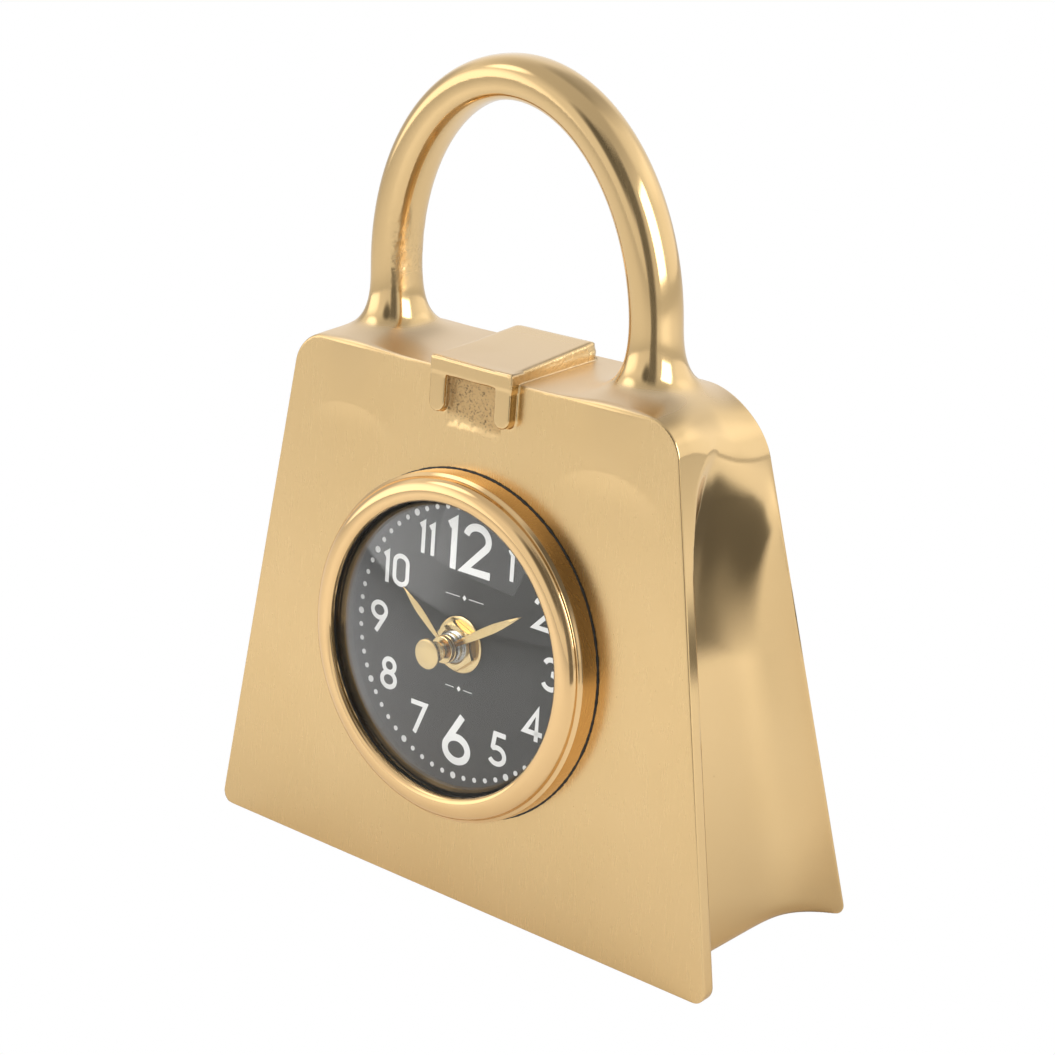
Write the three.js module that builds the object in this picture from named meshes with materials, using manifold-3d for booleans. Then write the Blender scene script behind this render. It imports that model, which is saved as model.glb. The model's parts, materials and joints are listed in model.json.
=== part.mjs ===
// Mantel clock shaped like a handbag: a hollow brass casting with a glued bezel and dial
// on its leaning front face, and a quartz movement behind that face.
// Millimetres, +Z up, the front looks along -Y, and the origin is under the middle of the base.
import * as THREE from 'three';
import * as BufferGeometryUtils from 'three/addons/utils/BufferGeometryUtils.js';
import Module from 'manifold-3d';

const roundSides = 48;         // sides of the large turned pieces

// Casting, sizes over the whole piece
const footLift = 0.3;          // the casting stands this far above the felt's underside
const baseHalfWidth = 82.85;   // side line of the face plates, carried down to the base
const sideLean = 1 / 6;        // how far the side line comes in for each millimetre of height
const baseHalfDepth = 29.25;
const faceLean = THREE.MathUtils.degToRad(5.665);
const plateHeight = 135;       // measured along the leaning face
const footRadius = 3;
const shoulderRadius = 8;
const rimEdge = 1.2;
const rimThickness = 1.9;
const recessAtBase = 10.5;
const recessAtShoulder = 8;
const recessEnd = 126;
const recessFade = 20;
const wall = 5.2;
const bottomWall = 4.5;
const rearHoleRadius = 42;
const restGap = 0.1;           // between pieces that rest on each other
const castGap = 0.3;           // between the casting and what is set into it

// Handle
const handleHalfSpan = 41.5;
const handleRise = 53;
const handleSpring = 150;
const handleWidth = 11;
const handleDepth = 14;
const handleCut = 141;         // height at which the handle is parted from the bag

// Clasp and strap
const claspHalfWidth = 13.3;
const claspTop = 137.5;
const claspBottom = 124;
const claspProud = 2.8;
const claspBarHeight = 4.1;
const claspRecessHalfWidth = 8.4;
const strapRearHeight = 139.6;

// Dial, bezel and glass; heights are measured out of the front face
const dialHeight = 67;         // dial centre, along the leaning face
const dialRecessRadius = 39.4;
const dialRadius = 39;
const dialFront = -1.15;
const dialThickness = 0.5;
const bezelRadius = 43.6;
const bezelSeat = 38.5;
const bezelOpening = 36.9;
const bezelFront = 8.5;
const glassRadius = 38;
const glassApex = 13.2;
const glassSphere = 93.9;
const glassThickness = 1.3;
const glassRings = 4;
const linerInner = 36.9;
const linerOuter = 38.2;
const linerTop = 3.6;

// Hands
const minuteHandAngle = THREE.MathUtils.degToRad(59);
const hourHandAngle = THREE.MathUtils.degToRad(-51);
const minuteHandLength = 28.6;
const hourHandLength = 19.2;
const handThickness = 0.4;
const hubRadius = 3.5;
const hourHandSeat = 4.4;
const minuteHandSeat = 5.7;
const capTop = 11.4;

// Movement
const standOff = 1;             // thickness of the rubber washer, and how far it holds the movement off
const caseHalf = 28;
const caseFront = wall + castGap;
const caseDepth = 16.5;
const frontPlate = 1.8;
const caseWall = 1.5;
const bushRadius = 3.9;
const bushBore = 2.8;
const bushTop = 3.9 + standOff;
const hourTubeRadius = 2.6;
const hourTubeBore = 1.9;
const minuteArborRadius = 1.6;
const minuteArborTop = 6.6;
const hourTubeTop = 5.2;
const bayFloor = 9;
const bayCentre = -19;
const bayHalf = 7.5;
const cellRadius = 7.25;
const cellHalfLength = 24.6;
const trainFloor = -9.5;
const arborRadius = 0.5;
const arborFront = 7.9;
const arborRear = 20.1;

// Train: axes in the face plane, x to the right and z up from the dial centre
const centreAxis = new THREE.Vector2(0, 0);
const motionAxis = polar(centreAxis, 9, 143.1);
const thirdAxis = polar(centreAxis, 8.5, 25);
const secondAxis = polar(thirdAxis, 7.92, 70);
const intermediateAxis = polar(secondAxis, 7, 143);
const rotorAxis = polar(intermediateAxis, 6, 154);

const wasm = await Module();
wasm.setup();

const clock = new THREE.Group();
const casing = new THREE.Group();
casing.position.z = footLift;
clock.add(casing);

// Everything on the dial axis lives in this group: y points into the clock, square to the face
const face = new THREE.Group();
face.rotation.x = -faceLean;
face.position.set(
  0,
  -baseHalfDepth + dialHeight * Math.sin(faceLean),
  footLift + dialHeight * Math.cos(faceLean),
);
clock.add(face);

// The movement stands off the casting by its rubber washer; y = 0 here is that far behind the face
const movement = new THREE.Group();
movement.position.y = standOff;
face.add(movement);

const brass = finish(0xd8b573, 0.22, 1);
const rosyBrass = finish(0xdcae6c, 0.15, 1);
const handBrass = finish(0xe0c277, 0.25, 1);
const steel = finish(0xb9b6ae, 0.3, 1);
const copper = finish(0xa8592e, 0.4, 1);
const blackRubber = finish(0x15130f, 0.8, 0);
const dialGrey = finish(0x3a3834, 0.7, 0);
const glassClear = new THREE.MeshStandardMaterial({
  color: 0xffffff, roughness: 0.02, metalness: 0, transparent: true, opacity: 0.2,
});
const felt = finish(0x20342a, 0.95, 0);
const blackPlastic = finish(0x1b1b1d, 0.5, 0);
const whiteNylon = finish(0xe9e6dc, 0.5, 0);
const greenBoard = finish(0x1f5a34, 0.5, 0);
const cellWrap = finish(0x2b4a78, 0.35, 0.2);

function finish(color, roughness, metalness) {
  return new THREE.MeshStandardMaterial({ color, roughness, metalness });
}

function add(group, name, geometry, material) {
  const mesh = new THREE.Mesh(geometry, material);
  mesh.name = name;
  group.add(mesh);
  return mesh;
}

function polar(from, distance, degrees) {
  const angle = THREE.MathUtils.degToRad(degrees);
  return new THREE.Vector2(
    from.x + distance * Math.cos(angle),
    from.y + distance * Math.sin(angle),
  );
}

// ---- solids and booleans ----

function solid(geometry) {
  const bare = new THREE.BufferGeometry();
  bare.setAttribute('position', geometry.getAttribute('position').clone());
  if (geometry.index) bare.setIndex(geometry.index.clone());
  const merged = BufferGeometryUtils.mergeVertices(bare, 1e-4);
  return new wasm.Manifold(new wasm.Mesh({
    numProp: 3,
    vertProperties: new Float32Array(merged.getAttribute('position').array),
    triVerts: new Uint32Array(merged.index.array),
  }));
}

function shell(manifold) {
  const mesh = manifold.getMesh();
  const geometry = new THREE.BufferGeometry();
  geometry.setAttribute('position', new THREE.BufferAttribute(mesh.vertProperties, 3));
  geometry.setIndex(new THREE.BufferAttribute(mesh.triVerts, 1));
  return geometry;
}

function join(...geometries) {
  return geometries.map(solid).reduce((sum, piece) => sum.add(piece));
}

function cut(body, ...geometries) {
  return geometries.map(solid).reduce((rest, tool) => rest.subtract(tool), body);
}

function block(x0, x1, y0, y1, z0, z1) {
  const geometry = new THREE.BoxGeometry(x1 - x0, y1 - y0, z1 - z0);
  return geometry.translate((x0 + x1) / 2, (y0 + y1) / 2, (z0 + z1) / 2);
}

// A round bar along y, at an axis in the x-z plane
function rod(radius, y0, y1, axis = centreAxis, sides = 24) {
  const geometry = new THREE.CylinderGeometry(radius, radius, y1 - y0, sides);
  return geometry.translate(axis.x, (y0 + y1) / 2, axis.y);
}

// A ring or disc turned about y; profile points are [radius, height out of the face]
function turned(profile, sides = roundSides) {
  const points = profile.map(([radius, height]) => new THREE.Vector2(radius, -height));
  const closed = profile[0][0] === 0 ? points : [...points, points[0]];
  const geometry = new THREE.LatheGeometry(closed, sides);
  return rightWayOut(geometry);
}

// An outline in the x-z plane with a thickness along y
function plate(shape, y0, y1) {
  const geometry = new THREE.ExtrudeGeometry(shape, { depth: y1 - y0, bevelEnabled: false, curveSegments: 12 });
  return geometry.rotateX(Math.PI / 2).translate(0, y1, 0);
}

function signedVolume(geometry) {
  const flat = geometry.index ? geometry.toNonIndexed() : geometry;
  const position = flat.getAttribute('position');
  const corners = [new THREE.Vector3(), new THREE.Vector3(), new THREE.Vector3()];
  let volume = 0;
  for (let i = 0; i < position.count; i += 3) {
    corners.forEach((corner, k) => corner.fromBufferAttribute(position, i + k));
    volume += corners[0].dot(corners[1].cross(corners[2])) / 6;
  }
  return volume;
}

function rightWayOut(geometry) {
  if (signedVolume(geometry) > 0) return geometry;
  const index = geometry.index.array;
  for (let i = 0; i < index.length; i += 3) {
    [index[i + 1], index[i + 2]] = [index[i + 2], index[i + 1]];
  }
  return geometry;
}

// A closed solid through level loops of the same number of points
function loft(loops) {
  const count = loops[0].length;
  const positions = loops.flat().flatMap((point) => [point.x, point.y, point.z]);
  const index = [];
  for (let level = 0; level < loops.length - 1; level += 1) {
    for (let i = 0; i < count; i += 1) {
      const a = level * count + i;
      const b = level * count + ((i + 1) % count);
      index.push(a, b, b + count, a, b + count, a + count);
    }
  }
  const top = (loops.length - 1) * count;
  const flatLoop = (loop) => loop.map((point) => new THREE.Vector2(point.x, point.y));
  const turnedRight = THREE.ShapeUtils.area(flatLoop(loops[0])) > 0;
  for (const [a, b, c] of THREE.ShapeUtils.triangulateShape(flatLoop(loops[0]), [])) {
    index.push(...(turnedRight ? [a, c, b] : [a, b, c]));
  }
  for (const [a, b, c] of THREE.ShapeUtils.triangulateShape(flatLoop(loops.at(-1)), [])) {
    index.push(...(turnedRight ? [top + a, top + b, top + c] : [top + a, top + c, top + b]));
  }
  const geometry = new THREE.BufferGeometry();
  geometry.setAttribute('position', new THREE.Float32BufferAttribute(positions, 3));
  geometry.setIndex(index);
  return rightWayOut(geometry);
}

// ---- the casting ----

function halfDepth(z) {
  return baseHalfDepth - z * Math.tan(faceLean);
}

// Outline of the face plates: straight leaning sides with a small foot and a round shoulder
function halfWidth(z) {
  const along = z / Math.cos(faceLean);
  const side = baseHalfWidth - sideLean * along;
  const inFoot = Math.max(0, footRadius - along);
  const inShoulder = Math.max(0, along - (plateHeight - shoulderRadius));
  const footCut = footRadius - Math.sqrt(footRadius ** 2 - inFoot ** 2);
  const shoulderCut = shoulderRadius - Math.sqrt(Math.max(0, shoulderRadius ** 2 - inShoulder ** 2));
  return side - footCut - shoulderCut;
}

// How far the side wall lies behind the edges of the two plates
function recess(z) {
  const depth = THREE.MathUtils.lerp(recessAtBase, recessAtShoulder, z / recessEnd);
  return depth * THREE.MathUtils.smoothstep(recessEnd - z, 0, recessFade);
}

function bodyLoop(z) {
  const width = halfWidth(z);
  const depth = halfDepth(z);
  const inset = recess(z);
  const quarter = [
    [width - rimEdge, depth],
    [width - rimEdge * 0.3, depth - rimEdge * 0.3],
  ];
  for (const step of [0, 0.25, 0.5, 0.75, 1]) {
    const cove = Math.sin(step * Math.PI / 2) ** 1.3;
    quarter.push([width - inset * cove, THREE.MathUtils.lerp(depth - rimThickness, depth * 0.445, step)]);
  }
  const back = [...quarter].reverse();
  return [
    ...quarter.map(([x, y]) => [x, y]),
    ...back.map(([x, y]) => [x, -y]),
    ...quarter.map(([x, y]) => [-x, -y]),
    ...back.map(([x, y]) => [-x, y]),
  ].map(([x, y]) => new THREE.Vector3(x, y, z));
}

function bodySolid() {
  const top = plateHeight * Math.cos(faceLean);
  const levels = [0, 0.5, 1.4, 3, 35, 70, 100];
  for (let z = 106; z < 126; z += 5) levels.push(z);
  for (const step of [0, 0.3, 0.6, 0.8, 0.93]) levels.push(top - shoulderRadius * (1 - step) * 0.995);
  levels.push(top);
  return loft(levels.map(bodyLoop));
}

class HandleLine extends THREE.Curve {
  getPoint(t, target = new THREE.Vector3()) {
    const foot = plateHeight - 2;
    const straight = handleSpring - foot;
    const arc = Math.PI / 2 * (handleHalfSpan + handleRise);
    const along = t * (2 * straight + arc);
    if (along < straight) return target.set(-handleHalfSpan, 0, foot + along);
    if (along > straight + arc) {
      return target.set(handleHalfSpan, 0, handleSpring - (along - straight - arc));
    }
    const angle = Math.PI * (1 - (along - straight) / arc);
    return target.set(
      handleHalfSpan * Math.cos(angle), 0, handleSpring + handleRise * Math.sin(angle),
    );
  }
}

function handleSolid() {
  const section = new THREE.Shape();
  const halfW = handleWidth / 2;
  const halfD = handleDepth / 2;
  const corners = 12;
  for (let i = 0; i < corners; i += 1) {
    const angle = 2 * Math.PI * (i + 0.5) / corners;
    const x = halfW * Math.sign(Math.cos(angle)) * Math.abs(Math.cos(angle)) ** 0.75;
    const y = halfD * Math.sign(Math.sin(angle)) * Math.abs(Math.sin(angle)) ** 0.75;
    if (i === 0) section.moveTo(x, y);
    else section.lineTo(x, y);
  }
  section.closePath();
  return new THREE.ExtrudeGeometry(section, {
    steps: 40, extrudePath: new HandleLine(), bevelEnabled: false,
  });
}

// The handle's foot swells out into the top of the bag; rings are [height, half width, half depth]
function handleRoot(x) {
  const rings = [
    [132.5, 12, 11.5], [135, 10.6, 10.6], [137, 8.3, 8.9], [140, 6.6, 7.7], [145, 5.7, 7.1], [150, 5.1, 6.5],
  ];
  return loft(rings.map(([z, along, deep]) => {
    const loop = [];
    for (let i = 0; i < 20; i += 1) {
      const angle = 2 * Math.PI * i / 20;
      loop.push(new THREE.Vector3(x + along * Math.cos(angle), deep * Math.sin(angle), z));
    }
    return loop;
  }));
}

// A point of the front face: w along the face, h out of it
function onFace(w, h) {
  return [
    -baseHalfDepth + w * Math.sin(faceLean) - h * Math.cos(faceLean),
    w * Math.cos(faceLean) + h * Math.sin(faceLean),
  ];
}

// An outline in the y-z plane, carried across from -half to +half
function crossBar(outline, half) {
  const shape = new THREE.Shape(outline.map(([y, z]) => new THREE.Vector2(y, z)));
  const geometry = new THREE.ExtrudeGeometry(shape, { depth: 2 * half, bevelEnabled: false });
  // the outline's first axis becomes y, its second z and its thickness x
  geometry.applyMatrix4(new THREE.Matrix4().set(0, 0, 1, -half, 1, 0, 0, 0, 0, 1, 0, 0, 0, 0, 0, 1));
  return rightWayOutLoose(geometry);
}

function rightWayOutLoose(geometry) {
  const merged = new THREE.BufferGeometry();
  merged.setAttribute('position', geometry.getAttribute('position').clone());
  return rightWayOut(BufferGeometryUtils.mergeVertices(merged, 1e-4));
}

function strapSolid() {
  const rear = halfDepth(strapRearHeight) - 0.4;
  return crossBar([
    onFace(claspTop - 8, claspProud), onFace(claspTop, claspProud),
    [rear, strapRearHeight], [rear, plateHeight - 6],
  ], claspHalfWidth);
}

function claspSolid() {
  return crossBar([
    onFace(claspBottom, -1), onFace(claspBottom, claspProud),
    onFace(claspTop - 1, claspProud), onFace(claspTop - 1, -1),
  ], claspHalfWidth);
}

function claspRecess() {
  return crossBar([
    onFace(claspBottom - 2, 0), onFace(claspBottom - 2, claspProud + 2),
    onFace(claspTop - claspBarHeight, claspProud + 2), onFace(claspTop - claspBarHeight, 0),
  ], claspRecessHalfWidth);
}

// The hollow follows the outside at one wall thickness
function hollow() {
  const topInside = plateHeight - wall - 1.5;
  return loft([bottomWall, 40, 80, 108, topInside].map((z) => {
    const x = halfWidth(Math.min(z, recessEnd)) - Math.max(recess(z), recessAtShoulder) - wall * 0.9;
    const y = halfDepth(z) - wall / Math.cos(faceLean);
    return [[x, y], [-x, y], [-x, -y], [x, -y]].map(([px, py]) => new THREE.Vector3(px, py, z));
  }));
}

function rearHole() {
  return onRearFace(rod(rearHoleRadius, -wall - 3, wall + 3, centreAxis, roundSides));
}

// A slab parallel to the rear face, between two distances out of it
function alongRear(from, to) {
  return onRearFace(block(-120, 120, from, to, -160, 160));
}

function onRearFace(geometry) {
  geometry.rotateX(faceLean);
  return geometry.translate(
    0, baseHalfDepth - dialHeight * Math.sin(faceLean), dialHeight * Math.cos(faceLean),
  );
}

function faceTool(geometry) {
  face.updateMatrix();
  return geometry.clone().applyMatrix4(face.matrix).translate(0, 0, -footLift);
}

const feltInset = 6;
const feltThickness = 1;

function feltLoop(inset, z) {
  const x = baseHalfWidth - recessAtBase - inset;
  const y = baseHalfDepth - inset;
  return [[x, y], [-x, y], [-x, -y], [x, -y]].map(([px, py]) => new THREE.Vector3(px, py, z));
}

const rawCasting = join(
  bodySolid(), handleSolid(), handleRoot(-handleHalfSpan), handleRoot(handleHalfSpan),
  strapSolid(), claspSolid(),
);
const castingSolid = cut(
  rawCasting,
  claspRecess(),
  hollow(),
  rearHole(),
  faceTool(rod(dialRecessRadius, -3, -dialFront + dialThickness + castGap, centreAxis, roundSides)),
  faceTool(rod(bushRadius + castGap, 0, wall + 2)),
  loft([feltLoop(feltInset - castGap, -1), feltLoop(feltInset - castGap, feltThickness)]),
);

// The bag, its rear wall and the handle are one casting, split into simpler solids
const overHandle = block(-60, 60, -12, 12, handleCut, 220);
add(casing, 'case_casting', shell(cut(
  castingSolid, overHandle, alongRear(-wall - castGap, 60),
)), brass);
add(casing, 'case_rear_wall', shell(cut(
  castingSolid, overHandle, alongRear(-200, -wall),
)), brass);
add(casing, 'handle', shell(cut(
  castingSolid, block(-90, 90, -40, 40, -5, handleCut + castGap),
)), brass);
add(clock, 'base_felt', loft([feltLoop(feltInset, 0), feltLoop(feltInset, feltThickness)]), felt);

// ---- bezel, glass and dial ----

add(face, 'bezel', turned([
  [bezelSeat, castGap], [bezelRadius, castGap], [bezelRadius + 0.2, 5.6], [bezelRadius - 0.7, 6],
  [bezelRadius - 1, 6.9], [42, 7.7], [40.4, 8.3], [38.8, bezelFront], [37.4, 8.3],
  [bezelOpening, 7.7], [bezelOpening, 6.6], [bezelSeat, 6.6],
]), rosyBrass);

add(face, 'bezel_adhesive', turned([
  [bezelRadius + 0.2, restGap], [bezelRadius + 1.2, restGap], [bezelRadius + 0.7, 1], [bezelRadius + 0.25, 1],
]), blackRubber);

add(face, 'glass_gasket', turned([
  [bezelOpening - 0.3, 6], [bezelSeat - 0.2, 5.6], [bezelSeat - 0.2, 6.5], [bezelOpening - 0.3, 6.5],
]), blackRubber);

function domeHeight(radius, apex) {
  return apex - (glassSphere - Math.sqrt(glassSphere ** 2 - radius ** 2));
}

function glassProfile() {
  const outer = [];
  const inner = [];
  for (let i = 0; i <= glassRings; i += 1) {
    const radius = glassRadius * i / glassRings;
    outer.push([radius, domeHeight(radius, glassApex)]);
    inner.unshift([radius, domeHeight(radius, glassApex - glassThickness)]);
  }
  return [...outer, ...inner];
}
add(face, 'glass', turned(glassProfile()), glassClear);

add(face, 'dial_wall', turned([
  [linerInner, dialFront + restGap], [linerOuter, dialFront + restGap], [linerOuter, linerTop],
  [linerInner, linerTop],
]), dialGrey);

const dialBack = -dialFront + dialThickness;
add(face, 'dial', shell(cut(
  join(rod(dialRadius, -dialFront, dialBack, centreAxis, roundSides)),
  rod(bushRadius + 0.2, -dialFront - 1, dialBack + 1),
)), dialGrey);

const washerBack = -dialFront - restGap;
add(face, 'dial_washer', shell(cut(
  join(rod(7.25, washerBack - 1, washerBack, centreAxis, 32)),
  rod(bushRadius + 0.15, washerBack - 2, washerBack + 1),
)), handBrass);

const nutBack = washerBack - 1 - restGap;
const nutHeight = 2.5;
const nutAcrossCorners = 12.6;
add(face, 'dial_nut', shell(cut(
  join(rod(nutAcrossCorners / 2, nutBack - nutHeight, nutBack, centreAxis, 6)),
  rod(bushRadius + 0.1, nutBack - 4, nutBack + 1),
)), handBrass);

const rubberRadius = 14;
add(face, 'rubber_washer', shell(cut(
  join(rod(rubberRadius, wall + restGap, wall + standOff + restGap, centreAxis, 32)),
  rod(bushRadius + 0.2, wall - 1, wall + standOff + 2),
)), blackRubber);

// ---- hands ----

// A lance: narrow at the hub, widest at two thirds, and drawn to a point
function handSolid(length, angle, seat, hole) {
  const shape = new THREE.Shape();
  shape.moveTo(-0.55, hubRadius - 0.6);
  shape.lineTo(-1.15, length * 0.62);
  shape.lineTo(0, length);
  shape.lineTo(1.15, length * 0.62);
  shape.lineTo(0.55, hubRadius - 0.6);
  shape.closePath();
  const blade = plate(shape, -seat - handThickness, -seat);
  blade.rotateY(angle);
  return cut(
    join(blade, rod(hubRadius, -seat - handThickness - 0.1, -seat + 0.05)),
    rod(hole, -seat - 2, -seat + 2),
  );
}

add(face, 'hour_hand', shell(
  handSolid(hourHandLength, hourHandAngle, hourHandSeat, hourTubeRadius + 0.1),
), handBrass);
add(face, 'minute_hand', shell(
  handSolid(minuteHandLength, minuteHandAngle, minuteHandSeat, minuteArborRadius + 0.1),
), handBrass);
add(face, 'hand_cap', turned([
  [0, minuteArborTop + restGap], [1.75, minuteArborTop + restGap], [1.75, capTop - 0.8],
  [3.75, capTop - 0.6], [3.75, capTop - 0.2], [3.4, capTop], [0, capTop],
], 24), handBrass);

// ---- movement: plates and battery bay ----

const frontBack = caseFront + frontPlate;
const rearStart = frontBack + restGap;
const caseBack = caseFront + caseDepth;

add(movement, 'movement_front_plate', shell(cut(
  join(block(-caseHalf, caseHalf, caseFront, frontBack, -caseHalf, caseHalf), rod(bushRadius, -bushTop, frontBack - 0.5)),
  rod(bushBore, -bushTop - 1, frontBack + 1),
)), blackPlastic);

add(movement, 'movement_rear_case', shell(cut(
  join(block(-caseHalf, caseHalf, rearStart, caseBack, -caseHalf, caseHalf)),
  block(
    -caseHalf + caseWall, caseHalf - caseWall, rearStart - 1, caseBack - caseWall,
    trainFloor, caseHalf - caseWall,
  ),
  block(
    -caseHalf + caseWall, caseHalf - caseWall, bayFloor, caseBack + 1,
    bayCentre - bayHalf, bayCentre + bayHalf,
  ),
  rod(1.3, caseBack - 3, caseBack + 1, motionAxis, 16),
)), blackPlastic);

const cellAxisDepth = bayFloor + cellRadius + 0.2;
function cellBar(radius, x0, x1) {
  const geometry = new THREE.CylinderGeometry(radius, radius, x1 - x0, 24);
  return geometry.rotateZ(Math.PI / 2).translate((x0 + x1) / 2, cellAxisDepth, bayCentre);
}
add(movement, 'battery_cell', shell(join(
  cellBar(cellRadius, -cellHalfLength, cellHalfLength - 0.4),
  cellBar(2.7, cellHalfLength - 1, cellHalfLength + 0.8),
)), cellWrap);

// Each contact is a bent strip that stands against the end wall of the bay
function contact(side) {
  const outer = side * (caseHalf - caseWall - restGap);
  const inner = outer - side * 0.4;
  const [x0, x1] = [Math.min(outer, inner), Math.max(outer, inner)];
  return block(x0, x1, bayFloor + 1, caseBack - 1, bayCentre - 5, bayCentre + 5);
}
add(movement, 'contact_plus', contact(1), steel);
add(movement, 'contact_minus', contact(-1), steel);

// ---- movement: motor and electronics ----

const stator = { front: 18.2, back: 19, holeRadius: 3.1 };
add(movement, 'stator', shell(cut(
  join(block(-22, 3.6, stator.front, stator.back, rotorAxis.y - 5, rotorAxis.y + 7)),
  rod(stator.holeRadius, stator.front - 1, stator.back + 1, rotorAxis, 24),
  block(-16.5, -8.5, stator.front - 1, stator.back + 1, rotorAxis.y - 3, rotorAxis.y + 5),
)), steel);

function coilBar(radius, x0, x1) {
  const geometry = new THREE.CylinderGeometry(radius, radius, x1 - x0, 20);
  return geometry.rotateZ(Math.PI / 2).translate((x0 + x1) / 2, 14.8, rotorAxis.y + 3);
}
add(movement, 'coil_bobbin', shell(join(
  coilBar(3, -20.5, -19.7), coilBar(1.2, -20, -6), coilBar(3, -6.3, -5.5),
)), whiteNylon);
add(movement, 'coil_winding', shell(cut(
  join(coilBar(2.6, -19.7 + restGap, -6.3 - restGap)), coilBar(1.2 + restGap, -21, -5),
)), copper);
add(movement, 'circuit_board', block(-26, -15, 9.3, 10.3, -8, 12), greenBoard);
add(movement, 'quartz_crystal', plate(
  new THREE.Shape().absarc(-20.5, 0, 1.5, 0, 2 * Math.PI), 10.4, 16.4,
), steel);

// ---- trains ----

// Teeth are straight-sided and thin, so a pair runs with plenty of play.
// A profile is a tooth's corners, each [true at the tip, offset in tooth pitches].
const flatTooth = [[false, -0.26], [true, -0.1], [true, 0.1], [false, 0.26]];
const pointedTooth = [[true, 0], [false, 0.5]];

function gear(teeth, module, axis, toothDegrees, y0, y1, profile) {
  const pitch = 2 * Math.PI / teeth;
  const radius = module * teeth / 2;
  const root = radius - 1.1 * module;
  const tip = radius + 0.7 * module;
  const corners = [];
  const start = THREE.MathUtils.degToRad(toothDegrees);
  for (let i = 0; i < teeth; i += 1) {
    const middle = start + i * pitch;
    for (const [atTip, offset] of profile) {
      const angle = middle + offset * pitch;
      const reach = atTip ? tip : root;
      corners.push(new THREE.Vector2(axis.x + reach * Math.cos(angle), axis.y + reach * Math.sin(angle)));
    }
  }
  return plate(new THREE.Shape(corners), y0, y1);
}

// Direction from one axis to another, in degrees
function toward(from, to) {
  return THREE.MathUtils.radToDeg(Math.atan2(to.y - from.y, to.x - from.x));
}

// A pinion shows a tooth to its wheel, and the wheel shows it a gap
function pinionFor(wheelAxis, axis, teeth, module, y0, y1) {
  return gear(teeth, module, axis, toward(axis, wheelAxis), y0, y1, flatTooth);
}
function wheelFor(pinionAxis, axis, teeth, module, y0, y1) {
  return gear(teeth, module, axis, toward(axis, pinionAxis) + 180 / teeth, y0, y1, pointedTooth);
}

const slowModule = 0.25;
const thirdModule = 0.22;
const cannonModule = 0.375;
const hourModule = 0.36;

add(movement, 'rotor_pinion', shell(join(
  rod(arborRadius, 15.5, arborRear, rotorAxis, 12),
  pinionFor(intermediateAxis, rotorAxis, 8, slowModule, 16.3, 17.9),
)), whiteNylon);
add(movement, 'rotor_magnet', shell(cut(
  join(rod(2.6, 18.1, 19.4, rotorAxis)), rod(arborRadius + restGap, 17, 20, rotorAxis, 12),
)), steel);
add(movement, 'intermediate_wheel', shell(join(
  wheelFor(rotorAxis, intermediateAxis, 40, slowModule, 16.7, 17.4),
  pinionFor(secondAxis, intermediateAxis, 8, slowModule, 14.8, 16.2),
  rod(arborRadius, 13.5, arborRear, intermediateAxis, 12),
)), whiteNylon);
add(movement, 'second_wheel', shell(join(
  wheelFor(intermediateAxis, secondAxis, 48, slowModule, 15.2, 15.9),
  pinionFor(thirdAxis, secondAxis, 8, thirdModule, 13.3, 14.6),
  rod(arborRadius, arborFront, arborRear, secondAxis, 12),
)), whiteNylon);
add(movement, 'third_wheel', shell(join(
  wheelFor(secondAxis, thirdAxis, 64, thirdModule, 13.6, 14.3),
  pinionFor(centreAxis, thirdAxis, 8, slowModule, 11.7, 13.1),
  rod(arborRadius, 10.8, arborRear, thirdAxis, 12),
)), whiteNylon);
add(movement, 'centre_wheel', shell(cut(
  join(wheelFor(thirdAxis, centreAxis, 60, slowModule, 12, 12.8), rod(2.4, 12, 13.1)),
  rod(minuteArborRadius + 0.1, 11, 14),
)), whiteNylon);
add(movement, 'minute_arbor', shell(join(
  rod(minuteArborRadius, -minuteArborTop - standOff, 13.3),
  pinionFor(motionAxis, centreAxis, 12, cannonModule, 9.9, 11.4),
)), steel);
add(movement, 'minute_wheel', shell(join(
  wheelFor(centreAxis, motionAxis, 36, cannonModule, 10.2, 11),
  pinionFor(centreAxis, motionAxis, 10, hourModule, 8, 9.7),
  rod(0.8, arborFront, caseBack + 0.5, motionAxis, 12),
)), whiteNylon);
add(movement, 'hour_wheel', shell(cut(
  join(wheelFor(motionAxis, centreAxis, 40, hourModule, 8.4, 9.3), rod(hourTubeRadius, -hourTubeTop - standOff, 9)),
  rod(hourTubeBore, -hourTubeTop - standOff - 1, 10),
)), whiteNylon);

const knobFront = caseBack + 0.6;
function knobShape() {
  const ribs = 16;
  const corners = [];
  for (let i = 0; i < ribs; i += 1) {
    for (const [reach, offset] of [[5.1, 0], [5.6, 0.35], [5.6, 0.65]]) {
      const angle = 2 * Math.PI * (i + offset) / ribs;
      corners.push(new THREE.Vector2(
        motionAxis.x + reach * Math.cos(angle), motionAxis.y + reach * Math.sin(angle),
      ));
    }
  }
  return new THREE.Shape(corners);
}
add(movement, 'setting_knob', plate(knobShape(), knobFront, knobFront + 3), blackPlastic);

export default clock;
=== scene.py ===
import json
import math

import bmesh
import bpy
import numpy as np
from mathutils import Matrix, Vector


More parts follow.
